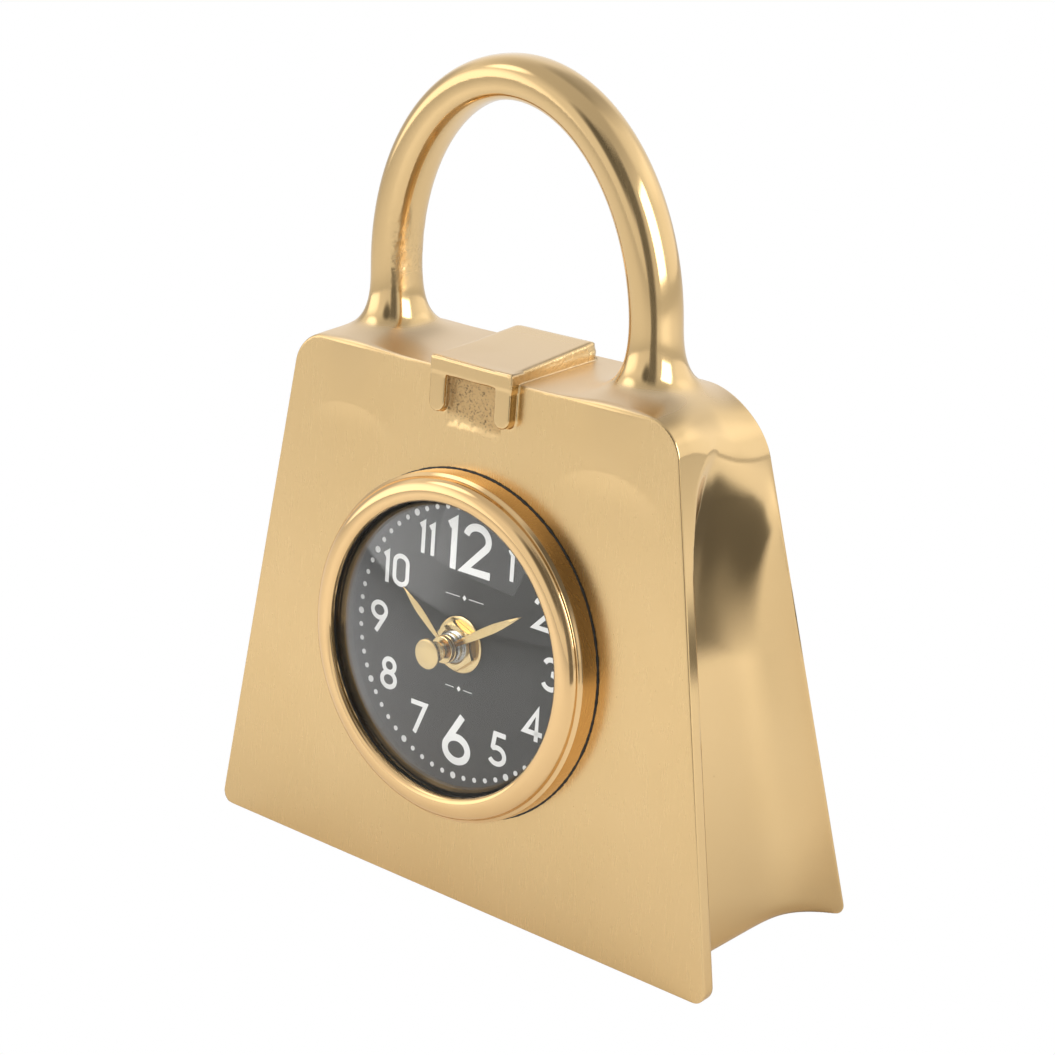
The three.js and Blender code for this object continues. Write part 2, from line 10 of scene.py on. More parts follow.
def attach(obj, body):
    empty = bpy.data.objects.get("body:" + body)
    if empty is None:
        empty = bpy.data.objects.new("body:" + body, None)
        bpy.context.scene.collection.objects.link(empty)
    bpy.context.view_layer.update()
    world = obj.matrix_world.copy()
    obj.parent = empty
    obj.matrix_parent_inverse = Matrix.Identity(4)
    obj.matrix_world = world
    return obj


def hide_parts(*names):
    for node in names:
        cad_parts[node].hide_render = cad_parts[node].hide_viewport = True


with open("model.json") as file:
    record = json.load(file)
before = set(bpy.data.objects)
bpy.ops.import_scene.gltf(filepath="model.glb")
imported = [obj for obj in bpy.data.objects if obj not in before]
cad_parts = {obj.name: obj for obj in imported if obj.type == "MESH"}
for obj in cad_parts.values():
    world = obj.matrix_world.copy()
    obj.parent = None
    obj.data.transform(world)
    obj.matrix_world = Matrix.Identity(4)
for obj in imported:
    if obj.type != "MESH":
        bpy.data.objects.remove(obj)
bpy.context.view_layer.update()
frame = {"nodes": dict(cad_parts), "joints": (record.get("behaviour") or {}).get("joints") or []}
mm = 0.001
print("frame loaded:", len(frame["nodes"]), "CAD nodes")

# The dial axis comes from the minute hand's joint: y runs into the clock, z up along the face
joints = {joint["name"]: joint for joint in frame["joints"]}
standOff = 1.0  # mm, from the front face back to the movement's own front, where the joint's point lies
inward = Vector(joints["minute_spin"]["axis"]).normalized()
upFace = Vector((1, 0, 0)).cross(inward)
faceCentre = Vector(joints["minute_spin"]["pos_m"]) - inward * standOff * mm
faceMatrix = Matrix.Translation(faceCentre) @ Matrix((
    (1, inward.x, upFace.x, 0), (0, inward.y, upFace.y, 0), (0, inward.z, upFace.z, 0), (0, 0, 0, 1),
)) @ Matrix.Scale(mm, 4)


def newObject(name, data):
    made = bpy.data.objects.new(name, data)
    bpy.context.scene.collection.objects.link(made)
    return made


def meshPiece(name, points, faces, matrix=faceMatrix, sharpAngle=35):
    mesh = bpy.data.meshes.new(name)
    mesh.from_pydata([tuple(p) for p in points], [], faces)
    mesh.transform(matrix)
    turnOut(mesh)
    shadeByAngle(mesh, sharpAngle)
    return newObject(name, mesh)


def turnOut(mesh, weld=2e-7):
    work = bmesh.new()
    work.from_mesh(mesh)
    bmesh.ops.remove_doubles(work, verts=work.verts, dist=weld)
    bmesh.ops.recalc_face_normals(work, faces=work.faces)
    work.to_mesh(mesh)
    work.free()


def shadeByAngle(mesh, sharpAngle):
    mesh.shade_smooth()
    mesh.set_sharp_from_angle(angle=math.radians(sharpAngle))
    mesh.update()


# Profile points are (radius, height out of the face); a first or last radius of 0 is a pole
def turnedPiece(name, profile, sides=160, matrix=faceMatrix, sharpAngle=35):
    return meshPiece(name, *turnedShape(profile, sides), matrix, sharpAngle)


def turnedShape(profile, sides):
    points, rings, faces = [], [], []
    for radius, height in profile:
        if radius == 0:
            rings.append([len(points)] * sides)
            points.append((0, -height, 0))
            continue
        rings.append(list(range(len(points), len(points) + sides)))
        for i in range(sides):
            angle = 2 * math.pi * i / sides
            points.append((radius * math.sin(angle), -height, radius * math.cos(angle)))
    closed = profile[0][0] > 0 and profile[-1][0] > 0
    pairs = list(zip(rings, rings[1:])) + ([(rings[-1], rings[0])] if closed else [])
    for low, high in pairs:
        for i in range(sides):
            j = (i + 1) % sides
            quad = [low[i], high[i], high[j], low[j]]
            faces.append([v for k, v in enumerate(quad) if v != quad[k - 1]])
    return points, faces


def softEdges(piece, width, segments=3, angle=40):
    bevel = piece.modifiers.new("softEdges", "BEVEL")
    bevel.width = width * mm
    bevel.segments = segments
    bevel.limit_method = "ANGLE"
    bevel.angle_limit = math.radians(angle)
    return settle(piece)


def settle(piece, sharpAngle=35):
    depsgraph = bpy.context.evaluated_depsgraph_get()
    mesh = bpy.data.meshes.new_from_object(piece.evaluated_get(depsgraph))
    piece.modifiers.clear()
    piece.data = mesh
    shadeByAngle(mesh, sharpAngle)
    return piece


# A welded copy of a CAD node's mesh, to be finished further
def cadCopy(name, nodeName):
    work = bmesh.new()
    work.from_mesh(frame["nodes"][nodeName].data)
    bmesh.ops.remove_doubles(work, verts=work.verts, dist=2e-6)
    bmesh.ops.dissolve_limit(work, angle_limit=math.radians(1), verts=work.verts, edges=work.edges)
    mesh = bpy.data.meshes.new(name)
    work.to_mesh(mesh)
    work.free()
    return newObject(name, mesh)


def place(piece, body, slot, material, *replaced):
    piece.data.materials.clear()
    piece.data.materials.append(material)
    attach(piece, body)
    if replaced:
        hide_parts(*replaced)
    return piece


class Nodes:

    def __init__(self, tree):
        self.tree = tree

    # A socket is linked, and anything else becomes the input's own value
    def feed(self, socket, value):
        if isinstance(value, bpy.types.NodeSocket):
            self.tree.links.new(value, socket)
        else:
            socket.default_value = value

    def add(self, kind, inputs=None, **settings):
        node = self.tree.nodes.new(kind)
        for key, value in settings.items():
            setattr(node, key, value)
        for key, value in (inputs or {}).items():
            self.feed(node.inputs[key], value)
        return node

    def link(self, fromSocket, toSocket):
        self.tree.links.new(fromSocket, toSocket)

    def onPiece(self):
        return self.add("ShaderNodeTexCoord").outputs["Object"]

    def maths(self, operation, a, b=0.0, clamp=False):
        return self.add("ShaderNodeMath", {0: a, 1: b}, operation=operation, use_clamp=clamp).outputs[0]

    def mixColour(self, factor, a, b):
        return self.add("ShaderNodeMix", {0: factor, 6: a, 7: b}, data_type="RGBA").outputs[2]

    def ramp(self, factor, low, high, lowTo=0.0, highTo=1.0):
        return self.add("ShaderNodeMapRange", {
            "Value": factor, "From Min": low, "From Max": high, "To Min": lowTo, "To Max": highTo,
        }).outputs["Result"]


def shaderGroup(name, inputs, outputs):
    tree = bpy.data.node_groups.new(name, "ShaderNodeTree")
    for label, kind, value in inputs:
        socket = tree.interface.new_socket(name=label, in_out="INPUT", socket_type=kind)
        socket.default_value = value
    for label, kind in outputs:
        tree.interface.new_socket(name=label, in_out="OUTPUT", socket_type=kind)
    return tree, Nodes(tree), tree.nodes.new("NodeGroupInput"), tree.nodes.new("NodeGroupOutput")


def brushedGrainGroup():
    tree, n, source, result = shaderGroup("brushedGrain", [
        ("Fineness", "NodeSocketFloat", 900.0), ("Stretch", "NodeSocketVector", (1.0, 1.0, 0.03)),
        ("Seed", "NodeSocketFloat", 0.0),
    ], [("Scratches", "NodeSocketFloat"), ("Clouds", "NodeSocketFloat")])
    here = n.onPiece()
    stretched = n.add("ShaderNodeVectorMath", {0: here, 1: source.outputs["Stretch"]}, operation="MULTIPLY")
    scratches = n.add("ShaderNodeTexNoise", {
        "Vector": stretched.outputs[0], "W": source.outputs["Seed"], "Scale": source.outputs["Fineness"],
        "Detail": 4.0, "Roughness": 0.65,
    }, noise_dimensions="4D")
    clouds = n.add("ShaderNodeTexNoise", {
        "Vector": here, "W": source.outputs["Seed"], "Scale": 28.0, "Detail": 3.0, "Roughness": 0.55,
    }, noise_dimensions="4D")
    n.link(scratches.outputs["Fac"], result.inputs["Scratches"])
    n.link(clouds.outputs["Fac"], result.inputs["Clouds"])
    return tree


def castPitsGroup():
    tree, n, source, result = shaderGroup("castPits", [
        ("Spacing", "NodeSocketFloat", 120.0), ("Size", "NodeSocketFloat", 0.05),
        ("Share", "NodeSocketFloat", 0.2),
    ], [("Pits", "NodeSocketFloat")])
    here = n.onPiece()
    cells = n.add("ShaderNodeTexVoronoi", {"Vector": here, "Scale": source.outputs["Spacing"]})
    chosen = n.maths("LESS_THAN", n.add("ShaderNodeSeparateColor", {0: cells.outputs["Color"]}).outputs[0],
                     source.outputs["Share"])
    near = n.add("ShaderNodeMapRange", {
        "Value": cells.outputs["Distance"], "From Min": source.outputs["Size"], "From Max": 0.0,
    }, interpolation_type="SMOOTHSTEP").outputs["Result"]
    n.link(n.maths("MULTIPLY", chosen, near), result.inputs["Pits"])
    return tree


def sandGrainGroup():
    tree, n, source, result = shaderGroup("sandGrain", [("Grain", "NodeSocketFloat", 2600.0)],
                                          [("Height", "NodeSocketFloat"), ("Dirt", "NodeSocketFloat")])
    here = n.onPiece()
    lumps = n.add("ShaderNodeTexVoronoi", {"Vector": here, "Scale": source.outputs["Grain"]}, feature="SMOOTH_F1")
    broadScale = n.maths("MULTIPLY", source.outputs["Grain"], 0.9)
    broad = n.add("ShaderNodeTexNoise", {"Vector": here, "Scale": broadScale, "Detail": 5.0, "Roughness": 0.7})
    height = n.maths("ADD", n.maths("MULTIPLY", lumps.outputs["Distance"], 0.6),
                     n.maths("MULTIPLY", broad.outputs["Fac"], 0.8))
    n.link(height, result.inputs["Height"])
    n.link(n.ramp(broad.outputs["Fac"], 0.36, 0.47, 1.0, 0.12), result.inputs["Dirt"])
    return tree


def dustGroup():
    tree, n, source, result = shaderGroup("dust", [("Amount", "NodeSocketFloat", 0.1)],
                                          [("Dust", "NodeSocketFloat")])
    here = n.onPiece()
    veil = n.add("ShaderNodeTexNoise", {"Vector": here, "Scale": 60.0, "Detail": 6.0, "Roughness": 0.7})
    specks = n.add("ShaderNodeTexNoise", {"Vector": here, "Scale": 1800.0, "Detail": 1.0})
    cover = n.maths("ADD", n.ramp(veil.outputs["Fac"], 0.45, 0.75), n.ramp(specks.outputs["Fac"], 0.68, 0.78))
    n.link(n.maths("MULTIPLY", cover, source.outputs["Amount"], clamp=True), result.inputs["Dust"])
    return tree


groups = {"grain": brushedGrainGroup(), "pits": castPitsGroup(), "sand": sandGrainGroup(), "dust": dustGroup()}


def useGroup(n, key, **inputs):
    node = n.add("ShaderNodeGroup")
    node.node_tree = groups[key]
    for label, value in inputs.items():
        node.inputs[label].default_value = value
    return node


def newMaterial(name, **sockets):
    material = bpy.data.materials.new(name)
    material.use_nodes = True
    n = Nodes(material.node_tree)
    shader = material.node_tree.nodes["Principled BSDF"]
    for label, value in sockets.items():
        shader.inputs[label].default_value = value
    return material, n, shader


def bump(n, shader, height, distance):
    node = n.add("ShaderNodeBump", {"Height": height, "Distance": distance * mm, "Strength": 1.0})
    n.link(node.outputs["Normal"], shader.inputs["Normal"])


def asColour(r, g, b):
    return (r, g, b, 1.0)


def tint(n, shader, mask, first, second):
    n.link(n.mixColour(mask, asColour(*first), asColour(*second)), shader.inputs["Base Color"])


def roughen(n, shader, mask, low, high, smoothest, roughest):
    n.link(n.ramp(mask, low, high, smoothest, roughest), shader.inputs["Roughness"])


# Shows one shader where the mask is 0 and another where it is 1
def mixSurface(material, n, mask, first, second):
    both = n.add("ShaderNodeMixShader", {0: mask, 1: first.outputs[0], 2: second.outputs[0]})
    n.link(both.outputs[0], material.node_tree.nodes["Material Output"].inputs["Surface"])


caseFinish = {
    "gold": (0.715, 0.505, 0.252), "deepGold": (0.685, 0.478, 0.230), "paleGold": (0.80, 0.625, 0.42),
    "dirt": (0.10, 0.075, 0.045), "faceRoughness": 0.27, "polishRoughness": 0.13, "topRoughness": 0.40,
    "castRoughness": 0.62, "scratchDepth": 0.00016, "sandDepth": 0.32, "pitDepth": 0.12,
}


def caseBrass():
    material, n, shader = newMaterial("caseBrass", Metallic=1.0)
    grain = useGroup(n, "grain", Fineness=1500.0, Stretch=(1.0, 1.0, 0.02))
    pits = useGroup(n, "pits", Spacing=110.0, Size=0.022, Share=0.05)
    sand = useGroup(n, "sand", Grain=1500.0)
    skin = n.add("ShaderNodeAttribute", attribute_name="castSkin").outputs["Fac"]
    polish = n.add("ShaderNodeAttribute", attribute_name="polish").outputs["Fac"]
    matteAndHighlight = n.add("ShaderNodeAttribute", attribute_name="matteTopPaintedHighlight").outputs["Fac"]
    colour = n.mixColour(n.ramp(grain.outputs["Clouds"], 0.3, 0.7), asColour(*caseFinish["gold"]),
                         asColour(*caseFinish["deepGold"]))
    colour = n.mixColour(n.maths("MULTIPLY", grain.outputs["Scratches"], 0.08), colour,
                         asColour(*caseFinish["paleGold"]))
    # the matte top is also painted paler: a painted highlight standing in for the bright room it mirrors
    colour = n.mixColour(matteAndHighlight, colour, asColour(*caseFinish["paleGold"]))
    dirt = n.maths("MULTIPLY", n.maths("MULTIPLY", sand.outputs["Dirt"], skin), 0.8)
    dirt = n.maths("MAXIMUM", dirt, n.maths("MULTIPLY", pits.outputs["Pits"], 0.75))
    n.link(n.mixColour(dirt, colour, asColour(*caseFinish["dirt"])), shader.inputs["Base Color"])
    face = caseFinish["faceRoughness"]
    rough = n.ramp(grain.outputs["Scratches"], 0.25, 0.75, face - 0.01, face + 0.01)
    for mask, value in ((polish, caseFinish["polishRoughness"]), (matteAndHighlight, caseFinish["topRoughness"]),
                        (skin, caseFinish["castRoughness"])):
        rough = n.add("ShaderNodeMix", {0: mask, 2: rough, 3: value}).outputs[0]
    n.link(rough, shader.inputs["Roughness"])
    unpolished = n.maths("SUBTRACT", 1.0, n.maths("MULTIPLY", polish, 0.8))
    scratches = n.maths("MULTIPLY", grain.outputs["Scratches"], caseFinish["scratchDepth"])
    grit = n.maths("MULTIPLY", n.maths("MULTIPLY", sand.outputs["Height"], skin), caseFinish["sandDepth"])
    height = n.maths("ADD", n.maths("MULTIPLY", scratches, unpolished), grit)
    height = n.maths("SUBTRACT", height, n.maths("MULTIPLY", pits.outputs["Pits"], caseFinish["pitDepth"]))
    bump(n, shader, height, 1.0)
    return material


# Two tones of each finish and the roughness it runs between
tones = {
    "bezel": ((0.80, 0.55, 0.28), (0.75, 0.50, 0.24), (0.06, 0.10)),
    "hand": ((0.75, 0.575, 0.29), (0.69, 0.51, 0.24), (0.16, 0.24)),
    "steel": ((0.62, 0.61, 0.58), (0.45, 0.44, 0.41), (0.2, 0.36)),
    "dial": ((0.026, 0.0245, 0.0205), (0.031, 0.029, 0.024), (0.42, 0.55)),
    "ink": ((0.82, 0.82, 0.795), (0.68, 0.67, 0.64), (0.38, 0.55)),
    "felt": ((0.012, 0.03, 0.02), (0.05, 0.095, 0.066), (0.85, 1.0)),
    "copper": ((0.30, 0.09, 0.03), (0.72, 0.30, 0.12), (0.5, 0.28)),
    "wrap": ((0.02, 0.045, 0.11), (0.62, 0.30, 0.10), (0.24, 0.5)),
    "dust": (0.3, 0.29, 0.27), "wrapDust": (0.3, 0.3, 0.3), "rubberDust": (0.12, 0.11, 0.1),
}


def bezelBrass():
    material, n, shader = newMaterial("bezelBrass", Metallic=1.0)
    first, second, roughness = tones["bezel"]
    clouds = useGroup(n, "grain", Fineness=700.0, Stretch=(1.0, 1.0, 1.0), Seed=3.0).outputs["Clouds"]
    tint(n, shader, n.ramp(clouds, 0.3, 0.7), first, second)
    roughen(n, shader, clouds, 0.3, 0.7, *roughness)
    bump(n, shader, clouds, 0.02)
    return material


def handBrass():
    material, n, shader = newMaterial("handBrass", Metallic=1.0)
    first, second, roughness = tones["hand"]
    scratches = useGroup(n, "grain", Fineness=2500.0, Stretch=(1.0, 0.2, 0.2), Seed=5.0).outputs["Scratches"]
    tint(n, shader, scratches, first, second)
    roughen(n, shader, scratches, 0.3, 0.7, *roughness)
    bump(n, shader, scratches, 0.0008)
    return material


def platedSteel():
    material, n, shader = newMaterial("platedSteel", Metallic=1.0)
    first, second, roughness = tones["steel"]
    grain = useGroup(n, "grain", Fineness=1800.0, Stretch=(0.3, 1.0, 0.3), Seed=7.0)
    tint(n, shader, grain.outputs["Clouds"], first, second)
    roughen(n, shader, grain.outputs["Scratches"], 0.3, 0.7, *roughness)
    bump(n, shader, grain.outputs["Scratches"], 0.01)
    return material


def dialPaint():
    material, n, shader = newMaterial("dialPaint", **{"Metallic": 0.0, "Specular IOR Level": 0.25})
    first, second, roughness = tones["dial"]
    dust = useGroup(n, "dust", Amount=0.02)
    grain = useGroup(n, "grain", Fineness=2200.0, Stretch=(1.0, 1.0, 1.0), Seed=11.0)
    paint = n.mixColour(grain.outputs["Clouds"], asColour(*first), asColour(*second))
    n.link(n.mixColour(dust.outputs["Dust"], paint, asColour(*tones["dust"])), shader.inputs["Base Color"])
    roughen(n, shader, grain.outputs["Scratches"], 0.3, 0.7, *roughness)
    bump(n, shader, grain.outputs["Scratches"], 0.0002)
    return material


def dialInk():
    material, n, shader = newMaterial("dialInk", Metallic=0.0)
    first, second, roughness = tones["ink"]
    dust = useGroup(n, "dust", Amount=0.25).outputs["Dust"]
    tint(n, shader, dust, first, second)
    roughen(n, shader, dust, 0.0, 0.3, *roughness)
    return material


def clearGlass():
    material, n, shader = newMaterial("clearGlass", **{
        "Base Color": asColour(1.0, 1.0, 1.0), "Metallic": 0.0, "IOR": 1.46, "Transmission Weight": 1.0,
    })
    dust = useGroup(n, "dust", Amount=0.03)
    n.link(dust.outputs["Dust"], shader.inputs["Roughness"])
    # light that comes or goes to the dial passes straight through
    path = n.add("ShaderNodeLightPath")
    passes = n.maths("MAXIMUM", path.outputs["Is Shadow Ray"], path.outputs["Is Diffuse Ray"])
    mixSurface(material, n, passes, shader, n.add("ShaderNodeBsdfTransparent"))
    return material


def softRubber(name, tone, roughness):
    material, n, shader = newMaterial(name, Metallic=0.0)
    dust = useGroup(n, "dust", Amount=0.12).outputs["Dust"]
    tint(n, shader, dust, (tone, tone * 0.95, tone * 0.9), tones["rubberDust"])
    roughen(n, shader, dust, 0.0, 0.2, roughness, roughness + 0.15)
    bump(n, shader, useGroup(n, "sand", Grain=3200.0).outputs["Height"], 0.03)
    return material


def mouldedPlastic(name, colour, roughness=0.45, grainSize=4200.0):
    material, n, shader = newMaterial(name, Metallic=0.0)
    dust = useGroup(n, "dust", Amount=0.08)
    sand = useGroup(n, "sand", Grain=grainSize)
    tint(n, shader, dust.outputs["Dust"], colour, tuple(min(1.0, c + 0.08) for c in colour))
    roughen(n, shader, sand.outputs["Dirt"], 0.0, 1.0, roughness, roughness + 0.12)
    bump(n, shader, sand.outputs["Height"], 0.02)
    return material


def feltCloth():
    material, n, shader = newMaterial("feltCloth", Metallic=0.0, **{"Sheen Weight": 0.4, "Sheen Roughness": 0.5})
    first, second, roughness = tones["felt"]
    fibres = n.add("ShaderNodeTexNoise", {
        "Vector": n.onPiece(), "Scale": 1400.0, "Detail": 6.0, "Roughness": 0.75, "Distortion": 1.5,
    }).outputs["Fac"]
    tint(n, shader, n.ramp(fibres, 0.35, 0.65), first, second)
    roughen(n, shader, fibres, 0.3, 0.7, *roughness)
    bump(n, shader, fibres, 0.15)
    return material


def copperWinding():
    material, n, shader = newMaterial("copperWinding", Metallic=0.8, **{"Coat Weight": 0.4})
    first, second, roughness = tones["copper"]
    turns = n.add("ShaderNodeTexWave", {"Vector": n.onPiece(), "Scale": 1500.0, "Distortion": 0.4},
                  bands_direction="X").outputs["Fac"]
    tint(n, shader, turns, first, second)
    roughen(n, shader, turns, 0.0, 1.0, *roughness)
    bump(n, shader, turns, 0.05)
    return material


def cellWrap():
    material, n, shader = newMaterial("cellWrap", Metallic=0.3, **{"Coat Weight": 0.6, "Coat Roughness": 0.1})
    first, second, roughness = tones["wrap"]
    alongX = n.add("ShaderNodeSeparateXYZ", {0: n.onPiece()}).outputs["X"]
    dust = useGroup(n, "dust", Amount=0.2).outputs["Dust"]
    colour = n.mixColour(n.ramp(alongX, 0.0128, 0.0131), asColour(*first), asColour(*second))
    n.link(n.mixColour(dust, colour, asColour(*tones["wrapDust"])), shader.inputs["Base Color"])
    roughen(n, shader, dust, 0.0, 0.4, *roughness)
    return material


finishes = {
    "case": caseBrass(), "bezel": bezelBrass(), "hand": handBrass(), "steel": platedSteel(), "dial": dialPaint(),
    "ink": dialInk(), "glass": clearGlass(), "adhesive": softRubber("blackAdhesive", 0.012, 0.55),
    "rubber": softRubber("blackRubber", 0.02, 0.6),
    "plastic": mouldedPlastic("blackPlastic", (0.016, 0.016, 0.018)),
    "nylon": mouldedPlastic("whiteNylon", (0.74, 0.72, 0.66), 0.4),
    "board": mouldedPlastic("circuitBoard", (0.01, 0.13, 0.045), 0.3, 900.0),
    "felt": feltCloth(), "copper": copperWinding(), "wrap": cellWrap(),
}
print("materials made:", len(finishes))

casting = {
    "lift": 0.3, "halfWidth": 82.85, "sideLean": 1 / 6, "halfDepth": 29.25, "lean": math.radians(5.665),
    "height": 134.34, "shoulder": 8.0, "shoulderGrow": 6.5, "foot": 4.0, "rimEdge": 0.4, "rimThickness": 3.3,
    "rimGrow": 8.0, "coveWidth": 10.0,
    "recessBase": 12.2, "recessTop": 10.0, "recessEnd": 131.0, "recessFade": 52.0,
    "wall": 5.2, "hollowInset": 9.5, "hollowMiddle": 66.4, "hollowHalf": 61.9, "hollowCorner": 3.0,
    "rearHole": 42.0, "rearHeight": 67.0, "rearCut": 8.2,
    "handleSpan": 41.5, "handleRise": 53.0, "handleSpring": 150.0, "handleHalf": (5.35, 6.8),
    "handlePower": 2.45, "handleFillet": 20.0,
    "strapHalf": 13.3, "strapFront": (-18.5, 137.1), "strapRear": (14.7, 139.3),
    "claspArm": 8.4, "claspBottom": 124.0, "claspBar": 133.4, "claspTop": 137.5, "claspProud": 2.8,
    "pocketDepth": 0.35, "pocketGrit": 0.3, "stepGrit": 0.10, "legGrit": 0.12,
    "dialRecess": 39.4, "dialDepth": 1.95, "bush": 4.2, "felt": (66.65, 23.55, 1.0),
}


def roundMax(a, b, r):
    return np.minimum(np.maximum(a, b), -r) + np.hypot(np.maximum(a + r, 0), np.maximum(b + r, 0))


def roundMin(a, b, r):
    return np.maximum(np.minimum(a, b), r) - np.hypot(np.maximum(r - a, 0), np.maximum(r - b, 0))


# A union whose fillet runs out without a line
def softMin(a, b, r):
    near = np.maximum(r - np.abs(a - b), 0) / r
    return np.minimum(a, b) - near ** 3 * r / 6


def smooth(value, low, high):
    t = np.clip((value - low) / (high - low), 0, 1)
    return t * t * (3 - 2 * t)


# Smooth lattice noise from -1 to 1
def valueNoise(x, y, z, scale, seed=0):
    p = [np.asarray(v) / scale for v in (x, y, z)]
    cell = [np.floor(v) for v in p]
    frac = [smooth(v - c, 0, 1) for v, c in zip(p, cell)]
    total = 0
    for corner in range(8):
        off = [(corner >> k) & 1 for k in range(3)]
        weight = 1
        for f, o in zip(frac, off):
            weight = weight * (f if o else 1 - f)
        mixed = (cell[0] + off[0]) * 127.1 + (cell[1] + off[1]) * 311.7 + (cell[2] + off[2]) * 74.7 + seed * 19.19
        total = total + weight * (np.abs(np.sin(mixed) * 43758.5453) % 1)
    return total * 2 - 1


def bodyHalfWidth(z):
    return casting["halfWidth"] - casting["sideLean"] * z / math.cos(casting["lean"])


def bodyHalfDepth(z):
    return casting["halfDepth"] - z * math.tan(casting["lean"])


def sideRecess(z, early=0.0):
    depth = casting["recessBase"] + (casting["recessTop"] - casting["recessBase"]) * z / casting["recessEnd"]
    return depth * smooth(casting["recessEnd"] - early - z, 0, casting["recessFade"])


# Height out of the front face, and distance up along it
def overFace(y, z):
    c, s = math.cos(casting["lean"]), math.sin(casting["lean"])
    return -(y + casting["halfDepth"]) * c + z * s, (y + casting["halfDepth"]) * s + z * c


def bodyField(x, y, z):
    c = math.cos(casting["lean"])
    depth = bodyHalfDepth(z)
    plates = (np.abs(y) - depth) * c
    rim = casting["rimThickness"] + 2.2 * smooth(z, 98, 120) + casting["rimGrow"] * smooth(z, 114, 131) ** 1.5
    front = smooth((depth + y - rim) / (casting["coveWidth"] * depth / casting["halfDepth"]), 0, 1)
    rear = np.clip((depth - 0.7 - y) / depth, 0, 1)
    drop = front ** 0.8 * (1 - (1 - rear) ** 5.2) * (1 - 0.1 * np.clip(y / depth, -0.6, 1))
    side = (np.abs(x) - bodyHalfWidth(z) + sideRecess(z, 10 * smooth(y, -4, 14)) * drop) * 0.986
    shoulder = casting["shoulder"] + casting["shoulderGrow"] * smooth(y, -13, 6)
    side = roundMax(side, z - casting["height"] + 0.9 * smooth(y, -2, 14) * smooth(np.abs(x), 22, 40), shoulder)
    side = roundMax(side, -z, casting["foot"])
    return roundMax(side, plates, casting["rimEdge"])


def ellipseDistance(px, pz):
    a, b = casting["handleSpan"], casting["handleRise"]
    px, pz = np.abs(px), np.abs(pz)
    start = np.maximum(np.hypot(px / a, pz / b), 1e-6)
    tx, tz = px / a / start, pz / b / start
    for _ in range(4):
        ex = (a * a - b * b) * tx ** 3 / a
        ez = (b * b - a * a) * tz ** 3 / b
        rx, rz = a * tx - ex, b * tz - ez
        qx, qz = px - ex, pz - ez
        r, q = np.hypot(rx, rz), np.maximum(np.hypot(qx, qz), 1e-6)
        tx = np.clip((qx * r / q + ex) / a, 0, 1)
        tz = np.clip((qz * r / q + ez) / b, 0, 1)
        length = np.maximum(np.hypot(tx, tz), 1e-6)
        tx, tz = tx / length, tz / length
    distance = np.hypot(px - a * tx, pz - b * tz)
    return np.where((px / a) ** 2 + (pz / b) ** 2 > 1, distance, -distance)


def handleField(x, y, z):
    low = z < casting["handleSpring"]
    across = np.where(low, np.abs(x) - casting["handleSpan"], 0.0)
    high = ~low
    across[high] = ellipseDistance(x[high], z[high] - casting["handleSpring"])
    (halfA, halfD), power = casting["handleHalf"], casting["handlePower"]
    reach = (np.abs(across / halfA) ** power + np.abs(y / halfD) ** power) ** (1 / power)
    return np.maximum((reach - 1) * halfA, 128 - z)


def strapField(x, y, z, h):
    (y0, z0), (y1, z1) = casting["strapFront"], casting["strapRear"]
    length = math.hypot(y1 - y0, z1 - z0)
    top = ((z - z0) * (y1 - y0) - (y - y0) * (z1 - z0)) / length
    bar = roundMax(x - casting["strapHalf"], top, 1.0)
    bar = roundMax(bar, -x - casting["strapHalf"], 1.0 + 2.0 * smooth(y, -16, -4))
    bar = roundMax(bar, y - y1, 4.0)
    return np.maximum(roundMax(bar, h - claspOut(x), 0.7), casting["claspBar"] + 0.2 - z)


# The clasp is almost flush at its left end and stands out at its right
def claspOut(x):
    return casting["claspProud"] * (0.66 + 0.34 * smooth(x, -14, 10))


def claspField(x, h, w):
    middle = (casting["claspArm"] + casting["strapHalf"]) / 2
    halfArm = (casting["strapHalf"] - casting["claspArm"]) / 2
    qx = np.abs(np.abs(x) - middle)
    qw = casting["claspBottom"] + halfArm - w
    arm = np.where(qw > 0, np.hypot(qx, qw), qx) - halfArm
    arm = np.maximum(arm, w - casting["claspTop"])
    barMiddle = (casting["claspBar"] + casting["claspTop"]) / 2
    barHalf = (casting["claspTop"] - casting["claspBar"]) / 2
    bar = np.maximum(np.abs(x) - casting["strapHalf"], np.abs(w - barMiddle) - barHalf)
    outline = roundMin(arm, bar, 0.7)
    return np.maximum(roundMax(outline, h - claspOut(x), 0.45), -h - 1.5)


def hollowField(x, y, z):
    zIn = np.minimum(z, casting["recessEnd"])
    halfX = bodyHalfWidth(zIn) - np.maximum(sideRecess(z), casting["hollowInset"]) - casting["wall"] * 0.9
    halfY = bodyHalfDepth(z) - casting["wall"] / math.cos(casting["lean"])
    room = roundMax(np.abs(x) - halfX, np.abs(y) - halfY, casting["hollowCorner"])
    return roundMax(room, np.abs(z - casting["hollowMiddle"]) - casting["hollowHalf"], casting["hollowCorner"])


def rearAxis(y, z):
    c, s = math.cos(casting["lean"]), math.sin(casting["lean"])
    dy = y - casting["halfDepth"] + casting["rearHeight"] * s
    dz = z - casting["rearHeight"] * c
    return dy * c + dz * s, -dy * s + dz * c


# Where the sand's grain was left: beside the strap, inside the handle's left leg, in the clasp's pocket
def stepMask(x, y, z):
    across = smooth(x, 12.7, 13.5) * smooth(17.5 - x, 0, 3)
    return across * smooth(z, 133.7, 134.8) * smooth(141 - z, 0, 1) * smooth(13 - y, 0, 4)


def legMask(x, z):
    return smooth(x, -38.6, -36.4) * smooth(-32 - x, 0, 3) * smooth(z, 144, 152) * smooth(174 - z, 0, 22)


